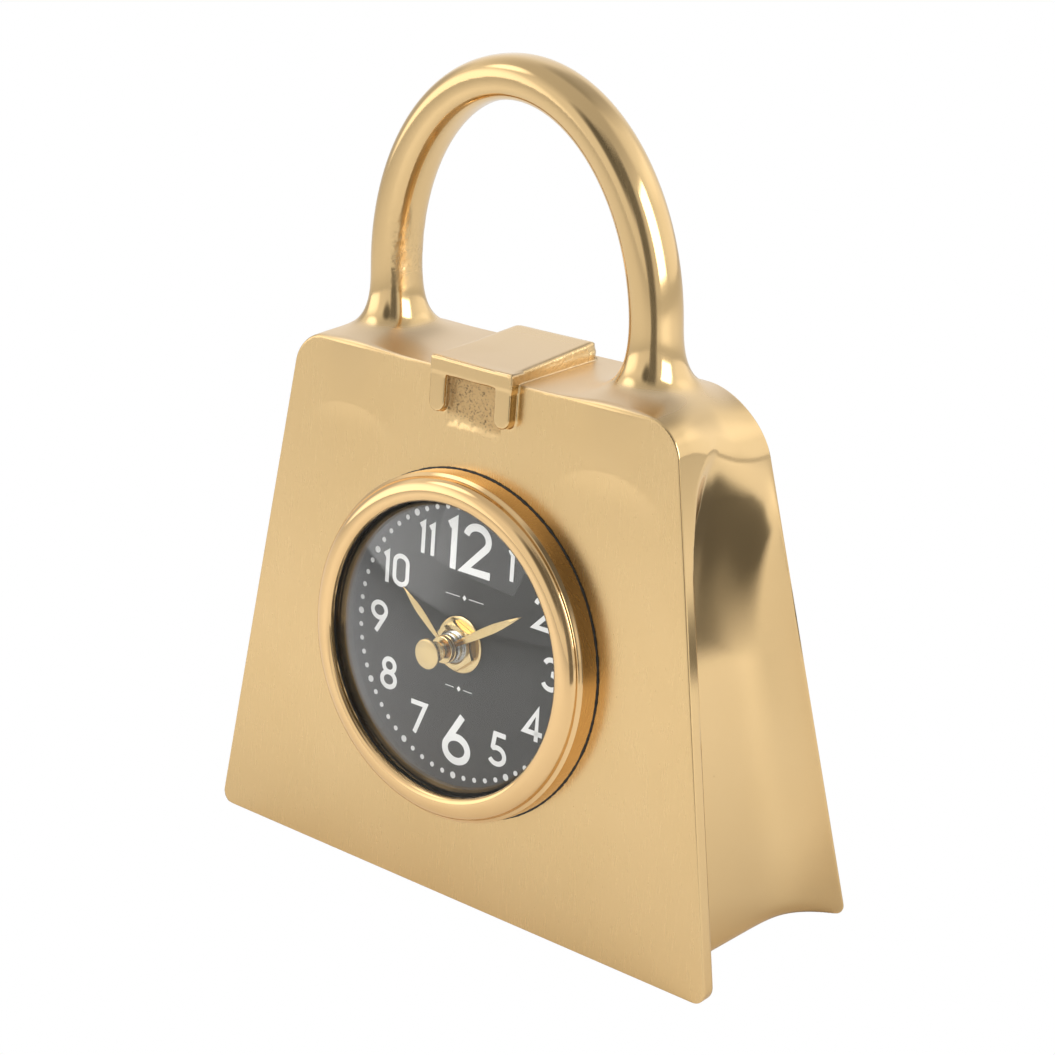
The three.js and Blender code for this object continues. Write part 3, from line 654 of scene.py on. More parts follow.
def pocketMask(x, w):
    across = smooth(casting["claspArm"] + 0.5 - np.abs(x), 0, 0.8)
    return across * smooth(casting["claspBar"] - w, -0.5, 0.6) * smooth(w, 120.5, 123)


# Negative in the metal: the body, handle and strap, less the hollow and what is let in from outside
def castingField(x, y, z):
    h, w = overFace(y, z)
    field = softMin(bodyField(x, y, z), handleField(x, y, z), casting["handleFillet"])
    softSide = 1.0 + 1.6 * smooth(y, -14, -4) + 2.4 * smooth(-x, -9, 9)
    softSide = np.maximum(softSide, 3.4 * smooth(y, 6, 12))
    field = roundMin(field, strapField(x, y, z, h), softSide * smooth(z, 134, 136.5) + 0.05)
    pocket = pocketMask(x, w) * smooth(h, -2, -0.4)
    grit = valueNoise(x, y, z, 0.9, 1) * 0.5 + valueNoise(x, y, z, 2.1, 2) * 0.5
    coarse = casting["stepGrit"] * stepMask(x, y, z) + casting["legGrit"] * legMask(x, z)
    coarse = coarse + casting["pocketGrit"] * pocket
    field = roundMin(field + grit * coarse + casting["pocketDepth"] * pocket, claspField(x, h, w), 0.5)
    along, up = rearAxis(y, z)
    rearHole = np.maximum(np.hypot(x, up) - casting["rearHole"], np.abs(along) - casting["rearCut"])
    opening = roundMin(hollowField(x, y, z), rearHole, 0.6)
    radius = np.hypot(x, w - casting["rearHeight"])
    opening = np.minimum(opening, np.maximum(radius - casting["dialRecess"], np.abs(h) - casting["dialDepth"]))
    opening = np.minimum(opening, np.maximum(radius - casting["bush"], np.abs(h + 3) - 5))
    feltX, feltY, feltZ = casting["felt"]
    opening = np.minimum(opening, np.maximum(np.maximum(np.abs(x) - feltX, np.abs(y) - feltY), z - feltZ))
    return np.maximum(field, -opening)


def spaced(*stretches):
    values = []
    for start, end, step in stretches:
        count = max(1, round((end - start) / step))
        values += [start + (end - start) * i / count for i in range(count)]
    return np.array(values + [stretches[-1][1]])


# Stretches of the grid's lines from the middle out and from the foot up: start, end and step
gridLines = {
    "across": ((0.45, 21.45, 0.9), (21.45, 47.45, 2.0), (47.45, 71, 1.15), (71, 78.2, 0.9), (78.2, 84.8, 0.6)),
    "deep": ((0.5, 25.5, 1.1), (25.5, 31.6, 0.5), (31.6, 37.6, 0.75)),
    "up": ((-1.15, 4, 0.6), (4, 24, 2.0), (24, 110, 1.75), (110, 118, 1.6), (118, 143, 0.62), (143, 212, 1.15)),
}


# Grid lines follow the leaning faces, so the plates and their edges fall between them everywhere
def castingGrid():
    halfU, halfV = spaced(*gridLines["across"]), spaced(*gridLines["deep"])
    u = np.concatenate([-halfU[::-1], halfU])
    v = np.concatenate([-halfV[::-1], halfV])
    z = spaced(*gridLines["up"])
    across = bodyHalfWidth(z) / casting["halfWidth"]
    deep = bodyHalfDepth(z) / casting["halfDepth"]
    shape = (len(u), len(v), len(z))
    x3 = np.broadcast_to(u[:, None, None] * across[None, None, :], shape)
    y3 = np.broadcast_to(v[None, :, None] * deep[None, None, :], shape)
    z3 = np.broadcast_to(z[None, None, :], shape)
    return x3, y3, z3


# One vertex in every cell the surface crosses, and one quad over every grid edge it crosses
def surfaceNet(x3, y3, z3, field):
    inside = field < 0
    shape = tuple(n - 1 for n in field.shape)
    total = np.zeros(shape + (3,))
    count = np.zeros(shape)
    spots = np.stack([x3, y3, z3], axis=-1)
    quads = []
    for axis in range(3):
        low = [slice(None)] * 3
        high = [slice(None)] * 3
        low[axis], high[axis] = slice(0, -1), slice(1, None)
        low, high = tuple(low), tuple(high)
        crossed = np.argwhere(inside[low] != inside[high])
        a, b = crossed.copy(), crossed.copy()
        b[:, axis] += 1
        fa, fb = field[tuple(a.T)], field[tuple(b.T)]
        share = (fa / (fa - fb))[:, None]
        spot = spots[tuple(a.T)] * (1 - share) + spots[tuple(b.T)] * share
        first, second = [k for k in range(3) if k != axis]
        ring = []
        for da, db in ((0, 0), (-1, 0), (-1, -1), (0, -1)):
            cell = a.copy()
            cell[:, first] += da
            cell[:, second] += db
            ring.append(cell)
        whole = np.all([np.all((c >= 0) & (c < np.array(shape)), axis=1) for c in ring], axis=0)
        for cell in ring:
            np.add.at(total, tuple(cell[whole].T), spot[whole])
            np.add.at(count, tuple(cell[whole].T), 1)
        flat = np.stack([np.ravel_multi_index(tuple(c[whole].T), shape) for c in ring], axis=1)
        turn = (fa[whole] < 0) ^ (axis == 1)
        flat[~turn] = flat[~turn][:, ::-1]
        quads.append(flat)
    quads = np.concatenate(quads)
    used = np.unique(quads)
    points = total.reshape(-1, 3)[used] / count.reshape(-1)[used][:, None]
    return points, np.searchsorted(used, quads)


def fieldNormal(points, step=0.06):
    grads = []
    for k in range(3):
        d = np.zeros(3)
        d[k] = step
        grads.append((castingField(*(points + d).T) - castingField(*(points - d).T)) / (2 * step))
    return np.stack(grads, axis=1)


# The round edge of the rear opening is drawn onto its circle, so that it stays crisp
def snapToRearHole(points):
    along, up = rearAxis(points[:, 1], points[:, 2])
    radial = np.hypot(points[:, 0], up)
    for depth in (0.0, -casting["wall"]):
        near = (np.abs(along - depth) < 0.75) & (np.abs(radial - casting["rearHole"]) < 0.75)
        scale = casting["rearHole"] / radial[near]
        x, v = points[near, 0] * scale, up[near] * scale
        c, s = math.cos(casting["lean"]), math.sin(casting["lean"])
        points[near, 0] = x
        points[near, 1] = casting["halfDepth"] - casting["rearHeight"] * s + depth * c - v * s
        points[near, 2] = casting["rearHeight"] * c + depth * s + v * c
    return points


# How rough, polished or matte each point of the surface was left, and where the top's colour is painted paler as a
# painted highlight
def castingMasks(points, normal):
    x, y, z = points.T
    h, w = overFace(y, z)
    handle = smooth(z, 136, 141)
    pocket = (np.abs(x) < casting["claspArm"] + 0.2) & (w < casting["claspBar"] + 0.2) & (h > -2) & (h < 1)
    pocket = pocket * smooth(w + 2.2 * smooth(x, -8, 8), 122.2, 125.2)
    legSide = legMask(x, z)
    within = hollowField(x, y, z) < 1.0
    skin = np.maximum.reduce([pocket, stepMask(x, y, z) * 0.35, legSide * 0.3, within * 1.0])
    flank = smooth(np.abs(normal[:, 0]), 0.3, 0.7) * (0.45 + 0.45 * smooth(z, 70, 110)) * (1 - within)
    flank = np.maximum(flank, smooth(np.abs(x), 50, 60) * smooth(normal[:, 2], 0.2, 0.6) * 0.8)
    clasp = smooth(h, 0.5, 1.0) * (z < 140) * 0.6
    # upward faces on top: a matte finish, and painted pale as a painted highlight
    topSide = smooth(normal[:, 2], 0.6, 0.85) * smooth(z, 128, 132) * smooth(58 - np.abs(x), 0, 10)
    return {"castSkin": skin, "polish": np.maximum.reduce([handle * (1 - 0.5 * legSide), flank, clasp]),
            "matteTopPaintedHighlight": topSide * (1 - handle)}


def makeCasting():
    x3, y3, z3 = castingGrid()
    values = castingField(x3.ravel(), y3.ravel(), z3.ravel()).reshape(x3.shape)
    points, quads = surfaceNet(x3, y3, z3, values)
    for _ in range(4):
        normal = fieldNormal(points)
        size = np.maximum((normal ** 2).sum(1), 0.25)
        step = castingField(*points.T) / size
        points = points - normal * np.clip(step, -0.6, 0.6)[:, None]
    points = snapToRearHole(points)
    normal = fieldNormal(points, 0.25)
    normal /= np.maximum(np.linalg.norm(normal, axis=1), 1e-6)[:, None]
    mesh = bpy.data.meshes.new("caseCasting")
    mesh.from_pydata([tuple(p) for p in points], [], [tuple(q) for q in quads])
    for label, values in castingMasks(points, normal).items():
        layer = mesh.attributes.new(label, "FLOAT", "POINT")
        layer.data.foreach_set("value", np.ascontiguousarray(values, dtype=np.float32))
    mesh.transform(Matrix.Translation((0, 0, casting["lift"] * mm)) @ Matrix.Scale(mm, 4))
    mesh.shade_smooth()
    mesh.update()
    mesh.normals_split_custom_set_from_vertices([tuple(n) for n in normal])
    piece = newObject("caseCasting", mesh)
    print("casting:", len(points), "points", len(quads), "quads")
    return place(piece, "case", "case_brass", finishes["case"], "case_casting", "case_rear_wall", "handle")


makeCasting()


# Geometry Nodes: what repeats in a ring or a row, and the lumpy skin of squeezed material
def nodeGroup(name, inputs):
    tree = bpy.data.node_groups.new(name, "GeometryNodeTree")
    tree.interface.new_socket(name="Geometry", in_out="INPUT", socket_type="NodeSocketGeometry")
    for label, kind, value in inputs:
        socket = tree.interface.new_socket(name=label, in_out="INPUT", socket_type=kind)
        if value is not None:
            socket.default_value = value
    tree.interface.new_socket(name="Geometry", in_out="OUTPUT", socket_type="NodeSocketGeometry")
    return tree, Nodes(tree), tree.nodes.new("NodeGroupInput"), tree.nodes.new("NodeGroupOutput")


def finishTree(n, source, result, geometry):
    real = n.add("GeometryNodeRealizeInstances", {"Geometry": geometry})
    named = n.add("GeometryNodeSetMaterial", {
        "Geometry": real.outputs[0], "Material": source.outputs["Material"],
    })
    n.link(named.outputs[0], result.inputs[0])


def ringGroup():
    tree, n, source, result = nodeGroup("ringOfParts", [
        ("Part", "NodeSocketObject", None), ("Count", "NodeSocketInt", 12), ("Radius", "NodeSocketFloat", 10.0),
        ("Skip Every", "NodeSocketInt", 0), ("Material", "NodeSocketMaterial", None),
    ])
    circle = n.add("GeometryNodeMeshCircle", {
        "Vertices": source.outputs["Count"], "Radius": source.outputs["Radius"],
    })
    index = n.add("GeometryNodeInputIndex").outputs[0]
    every = n.maths("MAXIMUM", source.outputs["Skip Every"], 1.0)
    turn = n.maths("DIVIDE", n.maths("MULTIPLY", index, 2 * math.pi), source.outputs["Count"])
    rest = n.maths("MODULO", index, every)
    keepsAll = n.maths("LESS_THAN", source.outputs["Skip Every"], 0.5)
    chosen = n.maths("MAXIMUM", n.maths("GREATER_THAN", rest, 0.5), keepsAll)
    part = n.add("GeometryNodeObjectInfo", {"Object": source.outputs["Part"]})
    angles = n.add("ShaderNodeCombineXYZ", {"Z": turn})
    copies = n.add("GeometryNodeInstanceOnPoints", {
        "Points": circle.outputs[0], "Selection": chosen, "Instance": part.outputs["Geometry"],
        "Rotation": angles.outputs[0],
    })
    finishTree(n, source, result, copies.outputs[0])
    return tree


def rowGroup():
    tree, n, source, result = nodeGroup("rowOfParts", [
        ("Part", "NodeSocketObject", None), ("Count", "NodeSocketInt", 5),
        ("Step", "NodeSocketVector", (1.0, 0.0, 0.0)), ("Material", "NodeSocketMaterial", None),
    ])
    line = n.add("GeometryNodeMeshLine", {"Count": source.outputs["Count"], "Offset": source.outputs["Step"]})
    part = n.add("GeometryNodeObjectInfo", {"Object": source.outputs["Part"]})
    copies = n.add("GeometryNodeInstanceOnPoints", {
        "Points": line.outputs[0], "Instance": part.outputs["Geometry"],
    })
    finishTree(n, source, result, copies.outputs[0])
    return tree


def lumpGroup():
    tree, n, source, result = nodeGroup("lumpySkin", [
        ("Amount", "NodeSocketFloat", 0.2), ("Scale", "NodeSocketFloat", 0.5), ("Seed", "NodeSocketFloat", 4.0),
        ("Material", "NodeSocketMaterial", None),
    ])
    noise = n.add("ShaderNodeTexNoise", {
        "W": source.outputs["Seed"], "Scale": source.outputs["Scale"], "Detail": 3.0,
    }, noise_dimensions="4D")
    push = n.maths("MULTIPLY", n.maths("SUBTRACT", noise.outputs[0], 0.5), source.outputs["Amount"])
    normal = n.add("GeometryNodeInputNormal").outputs[0]
    offset = n.add("ShaderNodeVectorMath", {0: normal, "Scale": push}, operation="SCALE")
    moved = n.add("GeometryNodeSetPosition", {
        "Geometry": source.outputs["Geometry"], "Offset": offset.outputs[0],
    })
    finishTree(n, source, result, moved.outputs[0])
    return tree


spreads = {"ring": ringGroup(), "row": rowGroup(), "lump": lumpGroup()}


# Runs a spread in millimetres, keeps the plain mesh and puts it in place
def spreadPiece(name, key, material, matrix, seedPiece=None, **inputs):
    holder = seedPiece or newObject(name + "Seed", bpy.data.meshes.new(name + "Seed"))
    modifier = holder.modifiers.new("spread", "NODES")
    modifier.node_group = spreads[key]
    sockets = {s.name: s.identifier for s in spreads[key].interface.items_tree if s.in_out == "INPUT"}
    for label, value in dict(inputs, Material=material).items():
        modifier[sockets[label.replace("_", " ")]] = value
    mesh = bpy.data.meshes.new_from_object(holder.evaluated_get(bpy.context.evaluated_depsgraph_get()))
    mesh.name = name
    bpy.data.objects.remove(holder)
    mesh.transform(matrix)
    turnOut(mesh)
    shadeByAngle(mesh, 35)
    return newObject(name, mesh)


def seedShape(points, faces):
    mesh = bpy.data.meshes.new("seed")
    mesh.from_pydata([tuple(p) for p in points], [], faces)
    turnOut(mesh, 1e-5)
    return newObject("seed", mesh)


# A ring about y whose points are given with their x, y and z in another order, which lays it down
def lyingRing(profile, sides, order):
    points, faces = turnedShape(profile, sides)
    return seedShape([tuple(p[k] for k in order) for p in points], faces)


def blockShape(x0, x1, y0, y1, z0, z1):
    points = [(x, y, z) for x in (x0, x1) for y in (y0, y1) for z in (z0, z1)]
    return points, [(0, 1, 3, 2), (4, 6, 7, 5), (0, 4, 5, 1), (2, 3, 7, 6), (0, 2, 6, 4), (1, 5, 7, 3)]


# Many closed shapes in one mesh
def gather(*shapes):
    points, faces = [], []
    for shapePoints, shapeFaces in shapes:
        base = len(points)
        points += list(shapePoints)
        faces += [tuple(base + i for i in face) for face in shapeFaces]
    return points, faces


# Outline in the face plane (x, z), from height low to height high out of the face
def slabShape(outline, low, high):
    count = len(outline)
    points = [(x, -low, z) for x, z in outline] + [(x, -high, z) for x, z in outline]
    sides = [(i, (i + 1) % count, count + (i + 1) % count, count + i) for i in range(count)]
    return points, [tuple(range(count)), tuple(range(2 * count - 1, count - 1, -1))] + sides


# A turned shape about an axis along y at (x, z); profile points are (radius, depth into the clock)
def spindleShape(axis, profile, sides=48):
    points, faces = turnedShape([(r, -d) for r, d in profile], sides)
    return [(p[0] + axis[0], p[1], p[2] + axis[1]) for p in points], faces


bezel = {
    "profile": [
        (38.5, 0.15), (43.85, 0.15), (44.0, 0.3), (44.0, 1.2), (43.85, 3.2), (43.75, 4.7), (43.65, 5.15),
        (43.3, 5.45), (42.95, 5.6), (42.75, 5.85), (42.7, 6.2), (42.62, 6.6), (42.35, 7.1), (41.9, 7.6),
        (41.2, 8.05), (40.3, 8.36), (39.2, 8.5), (38.3, 8.44), (37.55, 8.22), (37.1, 7.9), (36.92, 7.55),
        (36.9, 6.7), (37.0, 6.6), (38.5, 6.6),
    ],
}
place(turnedPiece("bezelRing", bezel["profile"], 256), "case", "bezel_brass", finishes["bezel"], "bezel")

adhesive = {
    "profile": [(43.3, 0.02), (44.15, 0.02), (44.3, 0.1), (44.25, 0.25), (44.1, 0.36), (43.95, 0.4), (43.3, 0.4)],
    "lumps": {"Amount": 0.6, "Scale": 0.9, "Seed": 4.0},
}
beadSeed = seedShape(*turnedShape(adhesive["profile"], 420))
bead = spreadPiece("adhesiveBead", "lump", finishes["adhesive"], faceMatrix, beadSeed, **adhesive["lumps"])
place(bead, "case", "black_adhesive", finishes["adhesive"], "bezel_adhesive")

gasket = {"profile": [(36.75, 6.05), (37.1, 5.75), (38.3, 5.62), (38.35, 6.3), (36.75, 6.55)]}
place(turnedPiece("glassGasket", gasket["profile"], 200), "case", "black_rubber", finishes["rubber"],
      "glass_gasket")

glass = {"radius": 38.0, "apex": 13.2, "sphere": 93.9, "thick": 1.3, "rings": 22}


def domeHeight(radius, apex):
    return apex - (glass["sphere"] - math.sqrt(glass["sphere"] ** 2 - radius ** 2))


def glassProfile():
    radii = [glass["radius"] * i / glass["rings"] for i in range(glass["rings"] + 1)]
    outer = [(r, domeHeight(r, glass["apex"])) for r in radii]
    inner = [(r, domeHeight(r, glass["apex"] - glass["thick"])) for r in reversed(radii)]
    return outer + inner


place(turnedPiece("glassDome", glassProfile(), 160), "case", "clear_glass", finishes["glass"], "glass")

liner = {"profile": [(36.9, -1.05), (38.2, -1.05), (38.2, 3.6), (37.0, 3.6), (36.9, 3.5)]}
place(turnedPiece("dialWall", liner["profile"], 200), "case", "dial_grey", finishes["dial"], "dial_wall")

dial = {
    "profile": [(4.1, -1.15), (39.0, -1.15), (39.0, -1.65), (4.1, -1.65)], "ink": -1.15, "inkRise": 0.05,
    "dots": 34.2,
    # name, radius of a dot, how many, and of how many each first is left out
    "dotRings": (("minuteDots", 0.65, 60, 5), ("hourDots", 0.875, 12, 0)),
}
place(turnedPiece("dialDisc", dial["profile"], 200), "case", "dial_grey", finishes["dial"], "dial")


def discSeed(radius, low, high, sides=20):
    angles = [2 * math.pi * i / sides for i in range(sides)]
    ring = [(radius * math.cos(a), radius * math.sin(a)) for a in angles]
    points = [(x, y, low) for x, y in ring] + [(x, y, high) for x, y in ring]
    sidesFaces = [(i, (i + 1) % sides, sides + (i + 1) % sides, sides + i) for i in range(sides)]
    return seedShape(points, [tuple(range(sides)), tuple(range(2 * sides - 1, sides - 1, -1))] + sidesFaces)


# The spreads work in x-y; this turns them so that their y runs up the face and their z out of it
ontoFace = faceMatrix @ Matrix(((1, 0, 0, 0), (0, 0, -1, 0), (0, 1, 0, 0), (0, 0, 0, 1)))
for name, size, count, skip in dial["dotRings"]:
    seed = discSeed(size, dial["ink"] + 0.01, dial["ink"] + dial["inkRise"])
    dots = spreadPiece(name, "ring", finishes["ink"], ontoFace, Part=seed, Count=count, Radius=dial["dots"],
                       Skip_Every=skip)
    place(dots, "case", "dial_grey", finishes["ink"])
    bpy.data.objects.remove(seed)


def arcPoints(cx, cy, rx, ry, start, end, steps=22):
    angles = [math.radians(start + (end - start) * i / steps) for i in range(steps + 1)]
    return [(cx + rx * math.cos(a), cy + ry * math.sin(a)) for a in angles]


# A bowl of a figure that runs all the way round
def bowl(cx, cy, rx, ry, steps):
    return (True, arcPoints(cx, cy, rx, ry, 0, 360, steps)[:-1])


# Centre lines of the figures, in a cell 1 high; (width, strokes), where a stroke is (closed, points)
figures = {
    "0": (0.56, [(True, arcPoints(0.28, 0.72, 0.22, 0.22, 0, 180, 16)
                  + arcPoints(0.28, 0.28, 0.22, 0.22, 180, 360, 16))]),
    "1": (0.26, [(False, [(0.03, 0.84), (0.17, 0.935), (0.17, 0.0)])]),
    "2": (0.60, [(False, arcPoints(0.30, 0.70, 0.235, 0.235, 170, -32, 20) + [(0.06, 0.062), (0.60, 0.062)])]),
    "3": (0.56, [(False, arcPoints(0.26, 0.73, 0.20, 0.205, 160, -80, 18)),
                 (False, arcPoints(0.27, 0.285, 0.23, 0.225, 88, -160, 20))]),
    "4": (0.64, [(False, [(0.64, 0.24), (0.09, 0.24), (0.46, 0.93), (0.46, 0.0)])]),
    "5": (0.56, [(False, [(0.50, 0.938), (0.17, 0.938), (0.12, 0.54)]
                  + arcPoints(0.26, 0.30, 0.24, 0.24, 118, -150, 22))]),
    "6": (0.62, [bowl(0.31, 0.30, 0.245, 0.24, 30), (False, [(0.105, 0.43), (0.40, 0.99)])]),
    "7": (0.56, [(False, [(0.0, 0.938), (0.49, 0.938), (0.16, 0.0)])]),
    "8": (0.56, [bowl(0.28, 0.73, 0.185, 0.205, 28), bowl(0.28, 0.29, 0.225, 0.23, 28)]),
    "9": (0.60, [bowl(0.29, 0.70, 0.235, 0.24, 30), (False, [(0.495, 0.57), (0.20, 0.01)])]),
}
numerals = {
    "places": {1: (27.4, 8.2), 2: (28.4, 8.4), 3: (28.4, 8.4), 4: (27.4, 8.4), 5: (26.9, 8.6), 6: (24.7, 12.8),
               7: (26.2, 8.4), 8: (27.8, 8.4), 9: (28.4, 8.2), 10: (27.2, 8.3), 11: (27.6, 8.2), 12: (24.7, 12.9)},
    "stroke": 0.148, "gap": 0.13, "widen": 1.2, "shift": 0.5,
}


# A stroke of even width as one closed shape
def strokeShape(points, closed, half, low, high):
    count = len(points)
    left, right = [], []
    for i, (x, y) in enumerate(points):
        ahead = points[(i + 1) % count] if closed or i < count - 1 else None
        behind = points[i - 1] if closed or i > 0 else None
        pairs = ((behind, (x, y)), ((x, y), ahead))
        runs = [np.subtract(b, a) for a, b in pairs if a is not None and b is not None]
        runs = [r / max(np.hypot(*r), 1e-9) for r in runs]
        along = sum(runs)
        along = along / max(np.hypot(*along), 1e-9)
        normal = np.array((-along[1], along[0]))
        reach = half / max(abs(float(np.dot(normal, (-runs[0][1], runs[0][0])))), 0.42)
        left.append((x + normal[0] * reach, y + normal[1] * reach))
        right.append((x - normal[0] * reach, y - normal[1] * reach))
    verts = [(p[0], -h, p[1]) for h in (low, high) for side in (left, right) for p in side]
    faces = []
    lowL, lowR, topL, topR = (k * count for k in range(4))
    for i in range(count if closed else count - 1):
        j = (i + 1) % count
        faces += [(lowL + i, lowL + j, lowR + j, lowR + i), (topL + i, topR + i, topR + j, topL + j),
                  (lowL + i, topL + i, topL + j, lowL + j), (lowR + i, lowR + j, topR + j, topR + i)]
    if not closed:
        for i in (0, count - 1):
            faces.append((i, count + i, 3 * count + i, 2 * count + i))
    return verts, faces


# Strokes end at slightly different heights, so that none lie in one plane where they cross
def numeralShapes():
    shapes = []
    layer = 0
    for hour, (radius, size) in numerals["places"].items():
        text = str(hour)
        stretch = [size * (1 if c == "1" else numerals["widen"]) for c in text]
        widths = [figures[c][0] * across for c, across in zip(text, stretch)]
        gap = numerals["gap"] * size
        total = sum(widths) + gap * (len(text) - 1)
        angle = math.radians(30 * hour)
        left = numerals["shift"] + radius * math.sin(angle) - total / 2
        low = radius * math.cos(angle) - size / 2
        for c, width, across in zip(text, widths, stretch):
            for closed, points in figures[c][1]:
                layer = (layer + 1) % 4
                line = [(left + px * across, low + py * size) for px, py in points]
                top = dial["ink"] + dial["inkRise"] + 0.004 * layer
                shapes.append(strokeShape(line, closed, numerals["stroke"] * size / 2, dial["ink"] + 0.01, top))
            left += width + gap
    return shapes


place(meshPiece("dialNumbers", *gather(*numeralShapes())), "case", "dial_grey", finishes["ink"])

# Plain ornament where a maker's words would be: a short rule with a lozenge, above and below the centre
ornament = {"rise": (11.8, -11.6), "half": (6.2, 4.4), "start": 1.5, "thick": 0.16, "lozenge": 0.62}


def ornamentShapes():
    shapes = []
    for z, half in zip(ornament["rise"], ornament["half"]):
        t, g = ornament["thick"], ornament["lozenge"]
        low, high = dial["ink"] + 0.01, dial["ink"] + dial["inkRise"]
        for side in (-1, 1):
            x0, x1 = sorted((side * ornament["start"], side * half))
            rule = [(x0, z - t / 2), (x1, z - t / 2), (x1, z + t / 2), (x0, z + t / 2)]
            shapes.append(slabShape(rule, low, high))
        shapes.append(slabShape([(-g, z), (0, z - g * 1.2), (g, z), (0, z + g * 1.2)], low, high))
    return shapes


place(meshPiece("dialOrnament", *gather(*ornamentShapes())), "case", "dial_grey", finishes["ink"])
print("dial done")

nut = {"flats": 5.46, "low": 0.05, "high": 2.05, "bore": 4.0, "turn": -10.0, "sides": 120}


# Radius and height of each ring: a bored hexagon whose corners are cut by a cone on its front
def nutRings(hexRadius):
    bore, low, high = nut["bore"], nut["low"], nut["high"]
    return [
        (bore, low), (hexRadius, low), (hexRadius, high - max(0.0, hexRadius - 5.55) * 0.62),
        (min(hexRadius, 5.5), high - 0.02), (5.2, high), (bore + 0.45, high), (bore, high - 0.4),
    ]


def nutShape():
    sides = nut["sides"]
    columns = []
    for i in range(sides):
        angle = 2 * math.pi * i / sides
        sector = (angle - math.radians(nut["turn"])) % (math.pi / 3) - math.pi / 6
        rings = nutRings(nut["flats"] / math.cos(sector))
        columns.append([(radius * math.sin(angle), -height, radius * math.cos(angle)) for radius, height in rings])
    points = [p for ring in zip(*columns) for p in ring]
    faces = []
    for k in range(len(columns[0])):
        for i in range(sides):
            j = (i + 1) % sides
            a, b = k * sides, ((k + 1) % len(columns[0])) * sides
            faces.append((a + i, b + i, b + j, a + j))
    return points, faces


washer = {
    "profile": [
        (4.05, -1.05), (7.05, -1.05), (7.25, -0.85), (7.2, -0.3), (6.95, -0.08), (6.7, -0.05), (4.05, -0.05),
    ],
}
place(turnedPiece("dialWasher", washer["profile"], 96), "case", "hand_brass", finishes["hand"], "dial_washer")
place(meshPiece("dialNut", *nutShape(), sharpAngle=24), "case", "hand_brass", finishes["hand"], "dial_nut")

# The movement's depths count from its own front
movementMatrix = faceMatrix @ Matrix.Translation((0, standOff, 0))
bush = {
    "profile": [(2.8, -6.0), (3.78, -6.0), (3.78, 3.55), (3.48, 3.85), (2.8, 3.85)],
    "thread": [(3.76, 0.0), (4.02, 0.22), (3.76, 0.44)], "threadStart": -1.3, "pitch": 0.78, "turns": 6,
}

# The bush's thread: one ring for each turn, laid along the axis
threadRing = lyingRing(bush["thread"], 72, (0, 2, 1))
threadMatrix = ontoFace @ Matrix.Translation((0, 0, bush["threadStart"]))
thread = spreadPiece("bushThread", "row", finishes["steel"], threadMatrix, Part=threadRing, Count=bush["turns"],
                     Step=(0.0, 0.0, bush["pitch"]))
place(thread, "case", "black_plastic", finishes["steel"])
bpy.data.objects.remove(threadRing)
place(turnedPiece("dialBush", bush["profile"], 72), "case", "black_plastic", finishes["steel"])

frontPlate = {"half": 28.0, "front": 5.5, "back": 7.3, "edge": 0.6}
plateSpan = (-frontPlate["half"], frontPlate["half"])
plateShape = blockShape(*plateSpan, frontPlate["front"], frontPlate["back"], *plateSpan)
plateBlock = softEdges(meshPiece("movementFront", *plateShape, movementMatrix), frontPlate["edge"])
place(plateBlock, "case", "black_plastic", finishes["plastic"], "movement_front_plate")

# Where the setting knob's axis crosses the face
settingPlace = faceMatrix.inverted() @ Vector(joints["setting_spin"]["pos_m"])
motion = (settingPlace.x, settingPlace.z)
rearCase = {
    "back": 22.0, "edge": 0.45, "sunk": 0.05, "rim": (7.0, 7.6), "rimRise": 0.45,
    "arrow": 9.2, "arrowStarts": (-150, 30), "arrowStep": 7, "arrowLine": 0.3, "head": (1.1, 1.9), "markRise": 0.35,
    # x from and to, z from and to: the bars of a plus and a minus sign beside the cell's ends
    "signs": ((21.0, 24.4, -9.55, -9.05), (22.45, 22.95, -11.0, -7.6), (-24.4, -21.0, -9.55, -9.05)),
    "panel": (-4, 24.5, 14.6, 23.6), "panelBar": 0.4, "panelRise": 0.25,
    "clips": (-14.0, 14.0), "clipHalf": 3, "clipDepth": (8.4, 15.4), "clipRise": 0.9, "half": 28.0,
}
# The CAD's own solid, with its edges rounded and moulded details laid on it
rearShell = softEdges(cadCopy("movementRear", "movement_rear_case"), rearCase["edge"], 2, 50)
place(rearShell, "case", "black_plastic", finishes["plastic"], "movement_rear_case")


# One of the two arrows round the knob: a bent line and its head
def arrowShapes(start, low, high):
    angles = [math.radians(start + rearCase["arrowStep"] * i) for i in range(13)]
    radius = rearCase["arrow"]
    line = [(motion[0] + radius * math.cos(a), motion[1] + radius * math.sin(a)) for a in angles]
    (bx, bz), (ex, ez) = line[-2:]
    length = math.hypot(ex - bx, ez - bz)
    dx, dz = (ex - bx) / length, (ez - bz) / length
    half, point = rearCase["head"]
    head = [(ex - dz * half, ez + dx * half), (ex + dz * half, ez - dx * half), (ex + dx * point, ez + dz * point)]
    return [strokeShape(line, False, rearCase["arrowLine"], low, high), slabShape(head, low, high)]


